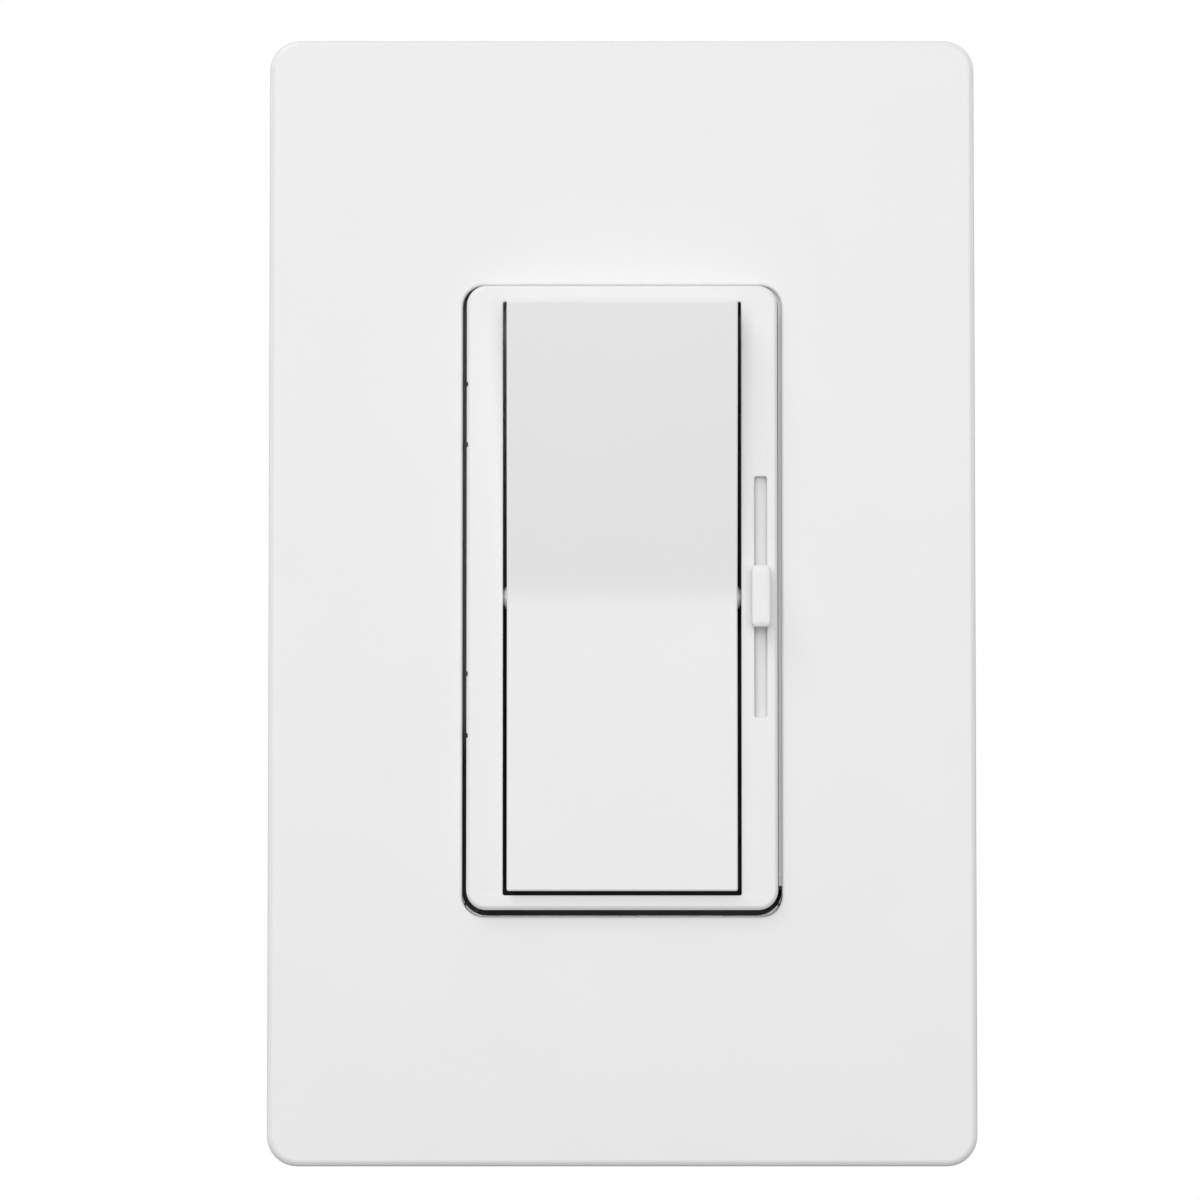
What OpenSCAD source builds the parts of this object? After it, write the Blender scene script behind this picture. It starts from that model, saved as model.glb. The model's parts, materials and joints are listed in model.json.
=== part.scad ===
// Paddle dimmer with a small slide control, in a two-piece screwless wallplate.
// +X is right and +Z is up as seen from the room, +Y points into the wall.
// The origin is midway between the two device screws, on the wall's surface.

/* [Wallplate] */
// Width of the outer cover
plate_w = 74.7; // [72:0.1:78]
// Height of the outer cover
plate_h = 119.1; // [117:0.1:122]
// How far the cover stands out from the wall
plate_d = 7.6; // [7:0.1:8]
// Corner radius of the cover
plate_r = 3.2; // [2:0.1:5]
// How far the plate hangs below the device's centre
plate_drop = 0.3; // [0:0.05:0.4]
// Width of the opening in the cover
window_w = 33.7; // [33.4:0.05:34]
// Height of the opening in the cover
window_h = 66.7; // [66.6:0.05:67.2]
// Corner radius of the opening in the cover
window_r = 2.2; // [1.5:0.1:3]

/* [Bezel] */
// Width of the bezel
bezel_w = 32.8; // [32.6:0.05:33]
// Height of the bezel
bezel_h = 65.9; // [65.6:0.05:66]
// Corner radius of the bezel
bezel_r = 2.1; // [1.5:0.1:3]
// How far the bezel's face stands out from the wall
bezel_d = 8.9; // [8.6:0.1:9.2]

/* [Paddle] */
// Width of the paddle
paddle_w = 24.25; // [24:0.05:24.4]
// How far the paddle's flat half stands out from the wall
paddle_d = 9.9; // [9.7:0.1:10.4]
// Angle that the paddle turns through, which is also the bend between its halves
paddle_turn = 6.2; // [5:0.1:6.4]
// Side gap between the paddle and the bezel
paddle_gap = 0.43; // [0.3:0.01:0.5]

/* [Slide control] */
// Distance of the slot from the device's centre line
slot_x = 14.6; // [14.5:0.05:14.7]
// Width of the slot
slot_w = 1.3; // [1.2:0.05:1.4]
// Length of the slot
slot_l = 25.4; // [25:0.1:26]
// How far the knob slides to each side of its middle
slide_half = 9.4; // [8:0.1:9.4]
// Height of the knob
knob_h = 6.5; // [6:0.1:6.5]
// Width of the knob
knob_w = 2.0; // [1.8:0.1:2.2]

/* [Strap and screws] */
// Distance between the two device screws
device_pitch = 83.3; // [83:0.1:83.6]
// Distance between the two wallplate screws
plate_pitch = 96.8; // [96.5:0.1:97]
// Thickness of the metal strap
strap_t = 1.6; // [1.4:0.1:1.6]
// Width of the strap with its side fins
strap_w = 60; // [50:1:62]
// Height of the strap with its ears
strap_h = 105; // [104:1:108]

/* [Housing] */
// Width of the rear housing
housing_w = 44; // [43.8:0.1:45]
// Height of the rear housing
housing_h = 69; // [68.8:0.1:72]
// Depth of the rear housing behind the strap
housing_d = 31; // [31:0.1:34]
// Wall thickness of the rear housing
housing_t = 1.6; // [1.4:0.1:1.6]

/* [Hidden] */
$fn = 48;
EPS = 0.01;

// Cover and snap adapter
plate_t = 1.8;
window_lip = 1.2;
adapter_back = -strap_t;
adapter_t = 2;
adapter_front = adapter_back - adapter_t;
adapter_gap = 0.85;
adapter_w = plate_w - 2 * plate_t - 2 * adapter_gap;
adapter_h = plate_h - 2 * plate_t - 2 * adapter_gap;
adapter_r = 1.6;
adapter_rim = 1.2;
adapter_rim_front = -plate_d + plate_t + 0.5;
tooth = 0.5;
tooth_t = 0.7;
rib = 0.7;
rib_front = adapter_front + tooth_t + 0.3;
snap_l = 9;
snap_side_z = [-38, 0, 38];
snap_end_x = [-20, 20];

// Paddle, in the frame of its pivot: the two halves lean equally here
half_turn = paddle_turn / 2;
pivot_y = -7;
pivot_r = 0.9;
pivot_play = 0.05;
crease_y = (pivot_y + paddle_d) / cos(half_turn);
paddle_top = 31.19;
paddle_bottom = 30.75;
paddle_skin = 1.5;
paddle_depth = 3.3;
paddle_wall = 1.3;
end_relief = 0.34;
opening_w = paddle_w + 2 * paddle_gap;
opening_top = 31.2;
opening_bottom = 31.4;

// Slide control
channel_x0 = 13.4;
channel_x1 = 15.8;
channel_z = 31.9;
face_t = 0.7;
shield_t = 0.4;
shield_y = -bezel_d + face_t + 0.1;
shield_w = 2.1;
shield_half = 22.3;
carriage_y = shield_y + shield_t + 0.05;
stem_w = 1.0;
stem_half = 2.9;
knob_out = 2.1;
knob_lift = 0.15;

// Toggle switch
switch_x = -5;
rocker_pivot_y = 11;
rocker_t = 0.8;
rocker_turn = 16;
rocker_half = 11.2;
rocker_w = 4.8;
rocker_pin_r = 0.6;
contact_z = 10;
contact_r = 1.6;
contact_t = 1.0;
fixed_y = 13.65;
fixed_t = 0.8;
terminal_t = 0.8;
plunger_r = 1.95;
socket_r = 2.05;
plunger_tip = rocker_pivot_y - rocker_t - 0.25 - pivot_y;
plunger_top = 2.6;

// Potentiometers
pot_x0 = 10.6;
pot_x1 = 18.6;
pot_y0 = 0.4;
pot_y1 = 7.6;
pot_half = 22;
pot_wall = 0.5;
dial_x = 13;
dial_z = -26;
dial_r = 4.8;
dial_front = -4.6;
dial_back = -2.8;

// Circuit board and rear parts
board_y = 20.2;
board_t = 1.6;
board_back = board_y + board_t;
choke_x = -8;
choke_z = -17;
choke_y = board_back + 3.8;
choke_major = 6.2;
choke_turns = 16;

// Terminals on the housing's sides
terminal_y = 14;
terminal_z = 12;
pocket_half = 5;
pocket_depth = 4.5;
pocket_wall = 1.2;
groove_d = 0.9;

// Housing screws, countersunk in the strap
corner_x = 18.3;
corner_z = 30.8;

// ---------- Shared shapes ----------

// Rounded rectangle from plain squares and circles
module rounded(w, h, r) {
  square([w - 2 * r, h], center = true);
  square([w, h - 2 * r], center = true);
  for (sx = [-1, 1], sz = [-1, 1])
    translate([sx * (w / 2 - r), sz * (h / 2 - r)]) circle(r);
}

// A plate facing the room: its outline is drawn as seen from the front
module plate(y0, y1) {
  translate([0, y1, 0]) rotate([90, 0, 0]) linear_extrude(y1 - y0) children();
}

// A profile drawn in depth and height, run from x0 to x1
module along_x(x0, x1) {
  translate([x0, 0, 0]) rotate([90, 0, 90]) linear_extrude(x1 - x0) children();
}

module block(x0, x1, y0, y1, z0, z1) {
  translate([x0, y0, z0]) cube([x1 - x0, y1 - y0, z1 - z0]);
}

module y_rod(r, y0, y1, x = 0, z = 0) {
  translate([x, y0, z]) rotate([-90, 0, 0]) cylinder(r = r, h = y1 - y0);
}

module y_cone(r0, r1, y0, y1, x = 0, z = 0) {
  translate([x, y0, z]) rotate([-90, 0, 0]) cylinder(r1 = r0, r2 = r1, h = y1 - y0);
}

module x_rod(r, x0, x1, y = 0, z = 0) {
  translate([x0, y, z]) rotate([0, 90, 0]) cylinder(r = r, h = x1 - x0);
}

module z_rod(r, z0, z1, x = 0, y = 0) {
  translate([x, y, z0]) cylinder(r = r, h = z1 - z0);
}

// Everything fixed in the paddle leans with it when its top stands out
module paddle_lean() {
  translate([0, pivot_y, 0]) rotate([half_turn, 0, 0]) children();
}

// The contact rocker leans the other way at rest
module rocker_lean() {
  translate([switch_x, rocker_pivot_y, 0]) rotate([-rocker_turn / 2, 0, 0]) children();
}

// ---------- Wallplate ----------

module snap_places() {
  for (z = snap_side_z, s = [-1, 1])
    translate([s * adapter_w / 2, 0, z]) rotate([0, s > 0 ? 0 : 180, 0]) children();
  for (x = snap_end_x, s = [-1, 1])
    translate([x, 0, s * adapter_h / 2]) rotate([0, s > 0 ? -90 : 90, 0]) children();
}

module wallplate_cover() {
  inner_w = plate_w - 2 * plate_t;
  inner_h = plate_h - 2 * plate_t;
  floor_y = -plate_d + plate_t;
  pry_w = 8;
  pry_d = 1.2;
  color("white") translate([0, 0, -plate_drop]) difference() {
    union() {
      difference() {
        plate(-plate_d, 0) rounded(plate_w, plate_h, plate_r);
        plate(floor_y, EPS) rounded(inner_w, inner_h, adapter_r);
      }
      plate(floor_y - EPS, floor_y + 0.9)
        rounded(window_w + 2 * window_lip, window_h + 2 * window_lip, window_r + window_lip);
      snap_places()
        block(adapter_gap - rib, adapter_gap + EPS, rib_front, rib_front + tooth_t, -snap_l / 2, snap_l / 2);
    }
    plate(-plate_d - 1, 1) rounded(window_w, window_h, window_r);
    block(-pry_w / 2, pry_w / 2, -pry_d, 1, -plate_h / 2 - 1, -inner_h / 2 + 1);
  }
}

module snap_adapter() {
  screw_hole = 2.1;
  tool_w = 11.5;
  tool_h = 10;
  color("whitesmoke") translate([0, 0, -plate_drop]) difference() {
    union() {
      plate(adapter_front, adapter_back) rounded(adapter_w, adapter_h, adapter_r);
      difference() {
        plate(adapter_rim_front, adapter_front + EPS) rounded(adapter_w, adapter_h, adapter_r);
        plate(adapter_rim_front - 1, adapter_front + 1)
          rounded(adapter_w - 2 * adapter_rim, adapter_h - 2 * adapter_rim, 1);
      }
      snap_places()
        block(-EPS, tooth, adapter_front, adapter_front + tooth_t, -snap_l / 2, snap_l / 2);
    }
    plate(adapter_front - 3, 1) rounded(window_w + 0.5, window_h + 0.7, window_r);
    block(dial_x, dial_x + dial_r + 1.2, adapter_front - 3, 1,
          dial_z - dial_r - 0.7, dial_z + dial_r + 1.3);
    for (s = [-1, 1]) {
      y_rod(screw_hole, adapter_front - 3, 1, 0, s * plate_pitch / 2 + plate_drop);
      translate([0, 0, s * device_pitch / 2 + plate_drop])
        plate(adapter_front - 3, 1) rounded(tool_w, tool_h, 1.5);
    }
    // Lightening windows left and right of the screw area
    for (sx = [-1, 1], sz = [-1, 1])
      translate([sx * 22, 0, sz * 45.5]) plate(adapter_front - 3, 1) rounded(10, 11, 2);
  }
}

module adapter_screws() {
  head_r = 3.2;
  head_t = 1.5;
  shank_r = 1.6;
  color("silver") for (s = [-1, 1]) translate([0, 0, s * plate_pitch / 2]) difference() {
    union() {
      y_rod(head_r, adapter_front - head_t, adapter_front);
      y_rod(shank_r, adapter_front - EPS, 4);
    }
    block(-head_r, head_r, adapter_front - head_t - 1, adapter_front - head_t + 0.8, -0.45, 0.45);
  }
}

// ---------- Strap ----------

module yoke() {
  mid_w = 44.5;
  mid_h = 68;
  neck_w = 26;
  ear_w = 33;
  ear_h = 9;
  slot_r = 2.1;
  slot_len = 9;
  score = 0.5;
  tab_z = -36.4;
  tab_t = 1.2;
  color("silver") difference() {
    union() {
      plate(-strap_t, 0) {
        rounded(strap_w, mid_h, 2);
        rounded(neck_w, strap_h - 2, 1.5);
        for (s = [-1, 1])
          translate([0, s * (strap_h - ear_h) / 2]) rounded(ear_w, ear_h, 2.5);
      }
      // Ground tab, bent back from the strap's lower edge
      block(-13, -4, -strap_t + EPS, 9.5, tab_z, tab_z + tab_t);
    }
    for (s = [-1, 1]) {
      // Slots for the device screws
      plate(-strap_t - 1, 1) translate([0, s * device_pitch / 2]) {
        square([slot_len - 2 * slot_r, 2 * slot_r], center = true);
        for (e = [-1, 1]) translate([e * (slot_len / 2 - slot_r), 0]) circle(slot_r);
      }
      // Threaded holes for the wallplate screws
      y_rod(1.65, -strap_t - 1, 1, 0, s * plate_pitch / 2);
      // Score lines where the side fins break off
      block(s * (mid_w / 2 + 0.4) - score, s * (mid_w / 2 + 0.4) + score,
            -strap_t - 1, -strap_t + 0.6, -mid_h, mid_h);
      // Notches beside the ears
      for (e = [-1, 1])
        y_rod(1.4, -strap_t - 1, 1, e * 11.5, s * (strap_h - 2 * ear_h) / 2);
      // Slots for the bezel's clips
      for (x = [-8, 8])
        block(x - 2.9, x + 2.9, -strap_t - 1, 1, s > 0 ? 30.7 : -32.8, s > 0 ? 32.8 : -30.7);
      // Countersunk holes for the housing screws
      for (e = [-1, 1]) {
        y_rod(1.25, -strap_t - 1, 1, e * corner_x, s * corner_z);
        y_cone(2.3, 1.25, -strap_t - EPS, -strap_t + 1.05, e * corner_x, s * corner_z);
      }
    }
    // Window for the toggle plunger
    block(switch_x - 4, switch_x + 4, -strap_t - 1, 1, -5, 5);
    // Slot for the slide control
    block(slot_x - 1.3, slot_x + 1.3, -strap_t - 1, 1, -slide_half - 3.6, slide_half + 3.6);
    y_rod(1.7, -strap_t - 1, 1, dial_x, dial_z);
    y_rod(1.3, -strap_t - 1, 1, triac_x, triac_hole_z);
    // Threaded hole in the ground tab
    z_rod(1.9, tab_z - 1, tab_z + tab_t + 1, -8.5, 5);
  }
}

module device_screws() {
  head_r = 3.4;
  head_t = 1.8;
  neck_r = 1.4;
  thread_r = 1.75;
  color("silver") for (s = [-1, 1]) translate([0, 0, s * device_pitch / 2]) difference() {
    union() {
      y_rod(head_r, -strap_t - head_t, -strap_t);
      y_rod(neck_r, -strap_t - EPS, 0.45 + EPS);
      y_rod(thread_r, 0.45, 23);
      y_cone(thread_r, 1.1, 23 - EPS, 24);
    }
    block(-head_r, head_r, -strap_t - head_t - 1, -strap_t - head_t + 0.8, -0.5, 0.5);
    block(-0.5, 0.5, -strap_t - head_t - 1, -strap_t - head_t + 0.8, -2.2, 2.2);
  }
}

module screw_retainers() {
  color("ivory") for (s = [-1, 1]) translate([0, 0, s * device_pitch / 2]) difference() {
    plate(0, 0.4) rounded(10.5, 8, 1);
    y_rod(1.5, -1, 1);
  }
}

// ---------- Bezel and paddle ----------

module front_bezel() {
  clip_w = 5;
  clip_z0 = 31.5;
  clip_z1 = 32.5;
  color("white") difference() {
    union() {
      plate(-bezel_d, -strap_t) rounded(bezel_w, bezel_h, bezel_r);
      for (x = [-8, 8], s = [-1, 1]) translate([x, 0, 0]) mirror([0, 0, s > 0 ? 0 : 1]) {
        block(-clip_w / 2, clip_w / 2, -strap_t - EPS, 2.2, clip_z0, clip_z1);
        // Hook behind the strap
        along_x(-clip_w / 2, clip_w / 2)
          polygon([
            [0.15, clip_z0 + EPS], [0.15, clip_z0 - 0.55], [0.6, clip_z0 - 0.55], [2.2, clip_z0 + EPS]
          ]);
      }
    }
    // Opening for the paddle
    block(-opening_w / 2, opening_w / 2, -bezel_d - 1, 3, -opening_bottom, opening_top);
    // Channel behind the slot
    block(channel_x0, channel_x1, -bezel_d + face_t, 3, -channel_z, channel_z);
    block(slot_x - slot_w / 2, slot_x + slot_w / 2, -bezel_d - 1, 3, -slot_l / 2, slot_l / 2);
    // Hollow behind the left strip
    for (s = [-1, 1])
      block(-15.3, -13.7, -bezel_d + 1.6, 3, s > 0 ? 3 : -31.2, s > 0 ? 31.2 : -3);
    // Bores for the paddle's trunnions
    x_rod(pivot_r + pivot_play, -opening_w / 2 - 1.2, opening_w / 2 + 1.2, pivot_y, 0);
    // Room for the trim dial
    block(opening_w / 2 - 1, bezel_w / 2 + 1, dial_front - 0.4, 3,
          dial_z - dial_r - 0.4, dial_z + dial_r + 0.4);
  }
}

// Side profile of the paddle's outside, in the pivot's frame. The ends step in behind their front
// corners, which leaves room in the opening as they swing through it.
module paddle_profile() {
  rise = tan(half_turn);
  top_y = -crease_y - paddle_top * rise;
  bottom_y = -crease_y - paddle_bottom * rise;
  polygon([
    [-crease_y, 0],
    [top_y, paddle_top],
    [top_y + 1, paddle_top - end_relief],
    [top_y + paddle_depth, paddle_top - end_relief],
    [-crease_y + paddle_depth + 0.4, 0],
    [bottom_y + paddle_depth, -paddle_bottom + 0.2],
    [bottom_y, -paddle_bottom]
  ]);
}

// Side profile of the hollow behind the paddle's skin
module paddle_hollow() {
  rise = tan(half_turn);
  top = paddle_top - paddle_skin;
  bottom = paddle_bottom - paddle_skin;
  skin_y = -crease_y + paddle_skin;
  polygon([
    [skin_y, 0],
    [skin_y - top * rise, top],
    [paddle_depth, top],
    [paddle_depth, -bottom],
    [skin_y - bottom * rise, -bottom]
  ]);
}

module paddle() {
  hub_r = 3.1;
  hub_back = 4.6;
  ear_r = 2.3;
  color("white") paddle_lean() difference() {
    union() {
      difference() {
        along_x(-paddle_w / 2, paddle_w / 2) paddle_profile();
        along_x(-paddle_w / 2 + paddle_wall, paddle_w / 2 - paddle_wall) paddle_hollow();
      }
      // Ribs across the back
      for (z = [-24, -16, -8, 8, 16, 24])
        block(-paddle_w / 2 + 1, paddle_w / 2 - 1, -crease_y - abs(z) * tan(half_turn) + 0.8,
              -crease_y - abs(z) * tan(half_turn) + 2.6, z - 0.5, z + 0.5);
      // Ears and trunnions
      for (s = [-1, 1]) {
        x0 = s > 0 ? paddle_w / 2 - paddle_wall : -paddle_w / 2;
        x_rod(ear_r, x0, x0 + paddle_wall, 0, 0);
      }
      x_rod(pivot_r, -paddle_w / 2 - 1.05, -paddle_w / 2 + EPS, 0, 0);
      x_rod(pivot_r, paddle_w / 2 - EPS, paddle_w / 2 + 1.05, 0, 0);
      // Hub around the plunger's socket
      y_rod(hub_r, -crease_y + 0.8, hub_back, switch_x, 0);
    }
    y_rod(socket_r, -crease_y + paddle_skin, hub_back + 1, switch_x, 0);
  }
}

module toggle_plunger() {
  rod_r = 1.2;
  color("gainsboro") paddle_lean() translate([switch_x, 0, 0]) {
    y_rod(plunger_r, plunger_top, plunger_top + 3.4);
    y_rod(rod_r, plunger_top + 3, plunger_tip - rod_r);
    translate([0, plunger_tip - rod_r, 0]) sphere(rod_r);
  }
}

// Compression spring swept along a helix
module spring(radius, wire, length, turns, steps = 16, sides = 8) {
  rings = turns * steps;
  pitch = (length - 2 * wire) / turns;
  points = [
    for (i = [0:rings]) let (a = 360 * i / steps, h = wire + pitch * i / steps)
      for (j = [0:sides - 1]) let (b = 360 * j / sides, r = radius + wire * cos(b))
        [r * cos(a), h + wire * sin(b), r * sin(a)]
  ];
  sides_faces = [
    for (i = [0:rings - 1], j = [0:sides - 1]) let (k = (j + 1) % sides)
      [i * sides + j, i * sides + k, (i + 1) * sides + k, (i + 1) * sides + j]
  ];
  start = [for (j = [sides - 1:-1:0]) j];
  finish = [for (j = [0:sides - 1]) rings * sides + j];
  polyhedron(points, concat(sides_faces, [start, finish]));
}

module toggle_spring() {
  back = -crease_y + paddle_skin + 0.05;
  color("dimgray") paddle_lean() translate([switch_x, back, 0])
    spring(1.55, 0.22, plunger_top - 0.05 - back, 5);
}

// ---------- Slide control ----------

module slider_knob() {
  front = -bezel_d - knob_out;
  back = -bezel_d - knob_lift;
  color("white") {
    translate([slot_x, 0, 0]) plate(front, back) rounded(knob_w, knob_h, 0.6);
    block(slot_x - stem_w / 2, slot_x + stem_w / 2, back - EPS, carriage_y + 1, -stem_half, stem_half);
  }
}

module slider_carriage() {
  half = 6;
  fork_half = 3;
  color("whitesmoke") difference() {
    union() {
      block(slot_x - 1, slot_x + 1, carriage_y, -2.4, -half, half);
      for (s = [-1, 1])
        block(slot_x - 0.8, slot_x + 0.8, -2.5, 0.2,
              s > 0 ? 1.3 : -fork_half, s > 0 ? fork_half : -1.3);
    }
    block(slot_x - stem_w / 2 - 0.1, slot_x + stem_w / 2 + 0.1, carriage_y - 1, carriage_y + 1.1,
          -stem_half - 0.1, stem_half + 0.1);
  }
}

module dust_shield() {
  color("gainsboro") difference() {
    block(slot_x - shield_w / 2, slot_x + shield_w / 2, shield_y, shield_y + shield_t,
          -shield_half, shield_half);
    block(slot_x - stem_w / 2 - 0.1, slot_x + stem_w / 2 + 0.1, shield_y - 1, shield_y + 1,
          -stem_half - 0.1, stem_half + 0.1);
  }
}

// ---------- Slide potentiometer ----------

module pot_shell() {
  lever_half = slide_half + 2;
  color("lightsteelblue") difference() {
    block(pot_x0, pot_x1, pot_y0, pot_y1, -pot_half, pot_half);
    block(pot_x0 + pot_wall, pot_x1 - pot_wall, pot_y0 + pot_wall, pot_y1 + 1,
          -pot_half + pot_wall, pot_half - pot_wall);
    block(slot_x - 1.1, slot_x + 1.1, pot_y0 - 1, pot_y0 + 1, -lever_half, lever_half);
  }
}

module pot_track() {
  carbon = 0.2;
  color("saddlebrown") {
    block(pot_x0 + pot_wall + 0.1, pot_x1 - pot_wall - 0.1, pot_y1 - 1.1, pot_y1 - 0.1,
          -pot_half + pot_wall + 0.1, pot_half - pot_wall - 0.1);
    // Two raised tracks
    for (s = [-1, 1])
      block(slot_x + s * 1.7 - 0.6, slot_x + s * 1.7 + 0.6, pot_y1 - 1.1 - carbon, pot_y1 - 1.1 + EPS,
            -18, 18);
  }
}

module pot_lever() {
  color("white") {
    block(slot_x - 0.8, slot_x + 0.8, -0.8, 2.7, -1.2, 1.2);
    block(pot_x0 + pot_wall + 0.3, pot_x1 - pot_wall - 0.3, 2.6, 5, -3.2, 3.2);
  }
}

module pot_wiper() {
  color("goldenrod") for (s = [-1, 1]) translate([slot_x + s * 1.7, 0, 0])
    along_x(-0.5, 0.5)
      polygon([[5, -2.6], [5.2, -2.6], [5.2, 0.4], [6.2, 2.4], [6.05, 2.6], [5, 0.6]]);
}

// ---------- Low-end trim ----------

module trim_dial() {
  teeth = 24;
  color("darkorange") difference() {
    union() {
      y_rod(dial_r, dial_front, dial_back, dial_x, dial_z);
      y_rod(1.5, dial_back - EPS, 3, dial_x, dial_z);
    }
    for (i = [0:teeth - 1])
      translate([dial_x, 0, dial_z]) rotate([0, 360 * i / teeth, 0])
        y_rod(0.35, dial_front - 1, dial_back + 0.02, dial_r + 0.05, 0);
    block(dial_x - 2.8, dial_x + 2.8, dial_front - 1, dial_front + 0.7, dial_z - 0.45, dial_z + 0.45);
  }
}

module trim_pot() {
  half = 3.3;
  color("royalblue") difference() {
    union() {
      block(dial_x - half, dial_x + half, 0.4, 5.4, dial_z - half, dial_z + half);
      for (x = [-2, 0, 2]) y_rod(0.3, 5.4 - EPS, board_y, dial_x + x, dial_z + (x == 0 ? 1.5 : -1.5));
    }
    y_rod(1.56, 0, 3.3, dial_x, dial_z);
  }
}

// ---------- Toggle switch ----------

module switch_base() {
  half_w = 6.6;
  half_h = 14;
  wall = 1.1;
  front = 7.2;
  back = fixed_y + fixed_t + terminal_t + 1.3;
  color("dimgray") difference() {
    block(switch_x - half_w, switch_x + half_w, front, back, -half_h, half_h);
    block(switch_x - half_w + wall, switch_x + half_w - wall, front - 1, back - 1.2,
          -half_h + wall, half_h - wall);
    // Slots where the terminals leave towards the board
    for (z = [-contact_z, 0, contact_z])
      block(switch_x - 1.7, switch_x + 1.7, back - 2, back + 1, z - 1, z + 1);
  }
}

module contact_rocker() {
  color("goldenrod") rocker_lean() {
    block(-rocker_w / 2, rocker_w / 2, -rocker_t, 0, -rocker_half, rocker_half);
    // Side flanges that straddle the saddle
    for (s = [-1, 1])
      block(s > 0 ? rocker_w / 2 - 0.5 : -rocker_w / 2, s > 0 ? rocker_w / 2 : -rocker_w / 2 + 0.5,
            -rocker_t - 1, 1.2, -2, 2);
    for (s = [-1, 1])
      x_rod(rocker_pin_r, s > 0 ? rocker_w / 2 - EPS : -rocker_w / 2 - 1,
            s > 0 ? rocker_w / 2 + 1 : -rocker_w / 2 + EPS);
  }
}

module moving_contacts() {
  color("gainsboro") rocker_lean()
    for (s = [-1, 1]) y_rod(contact_r, 0, contact_t, 0, s * contact_z);
}

module fixed_contacts() {
  color("gainsboro")
    for (s = [-1, 1]) y_rod(contact_r + 0.2, fixed_y, fixed_y + fixed_t, switch_x, s * contact_z);
}

// A terminal: a flat foot in the switch with a tail that reaches the board
module terminal(z, foot_half) {
  y0 = fixed_y + fixed_t;
  block(switch_x - 3.5, switch_x + 3.5, y0, y0 + terminal_t, z - foot_half, z + foot_half);
  block(switch_x - 1.5, switch_x + 1.5, y0 + terminal_t - EPS, board_y, z - 0.4, z + 0.4);
}

module common_terminal() {
  color("goldenrod") {
    terminal(0, 2.5);
    // Post under the middle of the rocker
    block(switch_x - 1.7, switch_x + 1.7, rocker_pivot_y + 0.12, fixed_y + fixed_t + EPS, -0.4, 0.4);
    // Ears that hold the rocker's pins
    for (x = [switch_x - 3.5, switch_x + 2.85]) difference() {
      block(x, x + 0.65, rocker_pivot_y - 1.4, fixed_y + fixed_t + EPS, -1.4, 1.4);
      x_rod(rocker_pin_r + pivot_play, x - 1, x + 2, rocker_pivot_y, 0);
    }
  }
}

module upper_terminal() {
  color("goldenrod") terminal(contact_z, 2.4);
}

module lower_terminal() {
  color("goldenrod") terminal(-contact_z, 2.4);
}

// ---------- Electronics ----------

module circuit_board() {
  half_w = 19.9;
  half_h = 32.3;
  color("darkgreen") difference() {
    plate(board_y, board_back) rounded(2 * half_w, 2 * half_h, 1);
    for (sx = [-1, 1], sz = [-1, 1]) y_rod(1.1, board_y - 1, board_back + 1, sx * 17.5, sz * 28);
  }
}

triac_x = -7;
triac_z = 17.8;
triac_hole_z = 27.45;

module triac() {
  half = 5;
  pad_t = 0.3;
  color("dimgray") difference() {
    union() {
      block(triac_x - half, triac_x + half, pad_t, pad_t + 1.3, triac_z, triac_z + 12.2);
      block(triac_x - half, triac_x + half, pad_t, pad_t + 4.5, triac_z, triac_z + 7);
      for (x = [-2.54, 0, 2.54]) {
        block(triac_x + x - 0.4, triac_x + x + 0.4, 2.6, 3.2, triac_z - 3, triac_z + EPS);
        block(triac_x + x - 0.4, triac_x + x + 0.4, 2.6, board_y, triac_z - 3.5, triac_z - 2.9);
      }
    }
    y_rod(1.8, -1, 3, triac_x, triac_hole_z);
  }
}

module triac_rivet() {
  color("silver") {
    y_rod(1.2, -strap_t - EPS, 1.7, triac_x, triac_hole_z);
    y_rod(2.2, -strap_t - 0.7, -strap_t, triac_x, triac_hole_z);
    y_rod(2.5, 1.6, 2.4, triac_x, triac_hole_z);
  }
}

module insulating_pad() {
  color("lightgray") difference() {
    block(triac_x - 6, triac_x + 6, 0, 0.3, triac_z - 1, triac_z + 12.6);
    y_rod(1.3, -1, 1, triac_x, triac_hole_z);
  }
}

module choke_core() {
  radial = 4;
  axial = 4.6;
  color("khaki") translate([choke_x, choke_y, choke_z]) rotate([-90, 0, 0]) rotate_extrude()
    translate([choke_major, 0]) square([radial, axial], center = true);
}

module choke_winding() {
  turn_r = 3.4;
  wire_r = 0.3;
  color("chocolate") for (i = [0:choke_turns - 1])
    translate([choke_x, choke_y, choke_z]) rotate([0, 360 * i / choke_turns, 0])
      translate([choke_major, 0, 0]) rotate_extrude() translate([turn_r, 0]) circle(wire_r, $fn = 16);
}

module film_capacitor() {
  color("steelblue") {
    translate([10, 0, -17]) plate(board_back + 0.1, board_back + 7) rounded(12, 16, 1);
    for (z = [-22, -12]) y_rod(0.35, board_back, board_back + 0.2, 10, z);
  }
}

module smoothing_capacitor() {
  radius = 3.4;
  color("midnightblue") {
    z_rod(radius, 8, 23, 10, board_back + 0.1 + radius);
    for (x = [-1.2, 1.2]) {
      z_rod(0.3, 6, 8 + EPS, 10 + x, board_back + 0.1 + radius);
      y_rod(0.3, board_back, board_back + 0.1 + radius, 10 + x, 6);
    }
  }
}

module resistors() {
  radius = 1.2;
  y = board_y - 0.3 - radius;
  color("tan") for (x = [5, 10, 15]) {
    z_rod(radius, 20, 27, x, y);
    z_rod(0.3, 18, 29, x, y);
    for (z = [18, 29]) y_rod(0.36, y - 0.36, board_y, x, z);
  }
}

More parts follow.
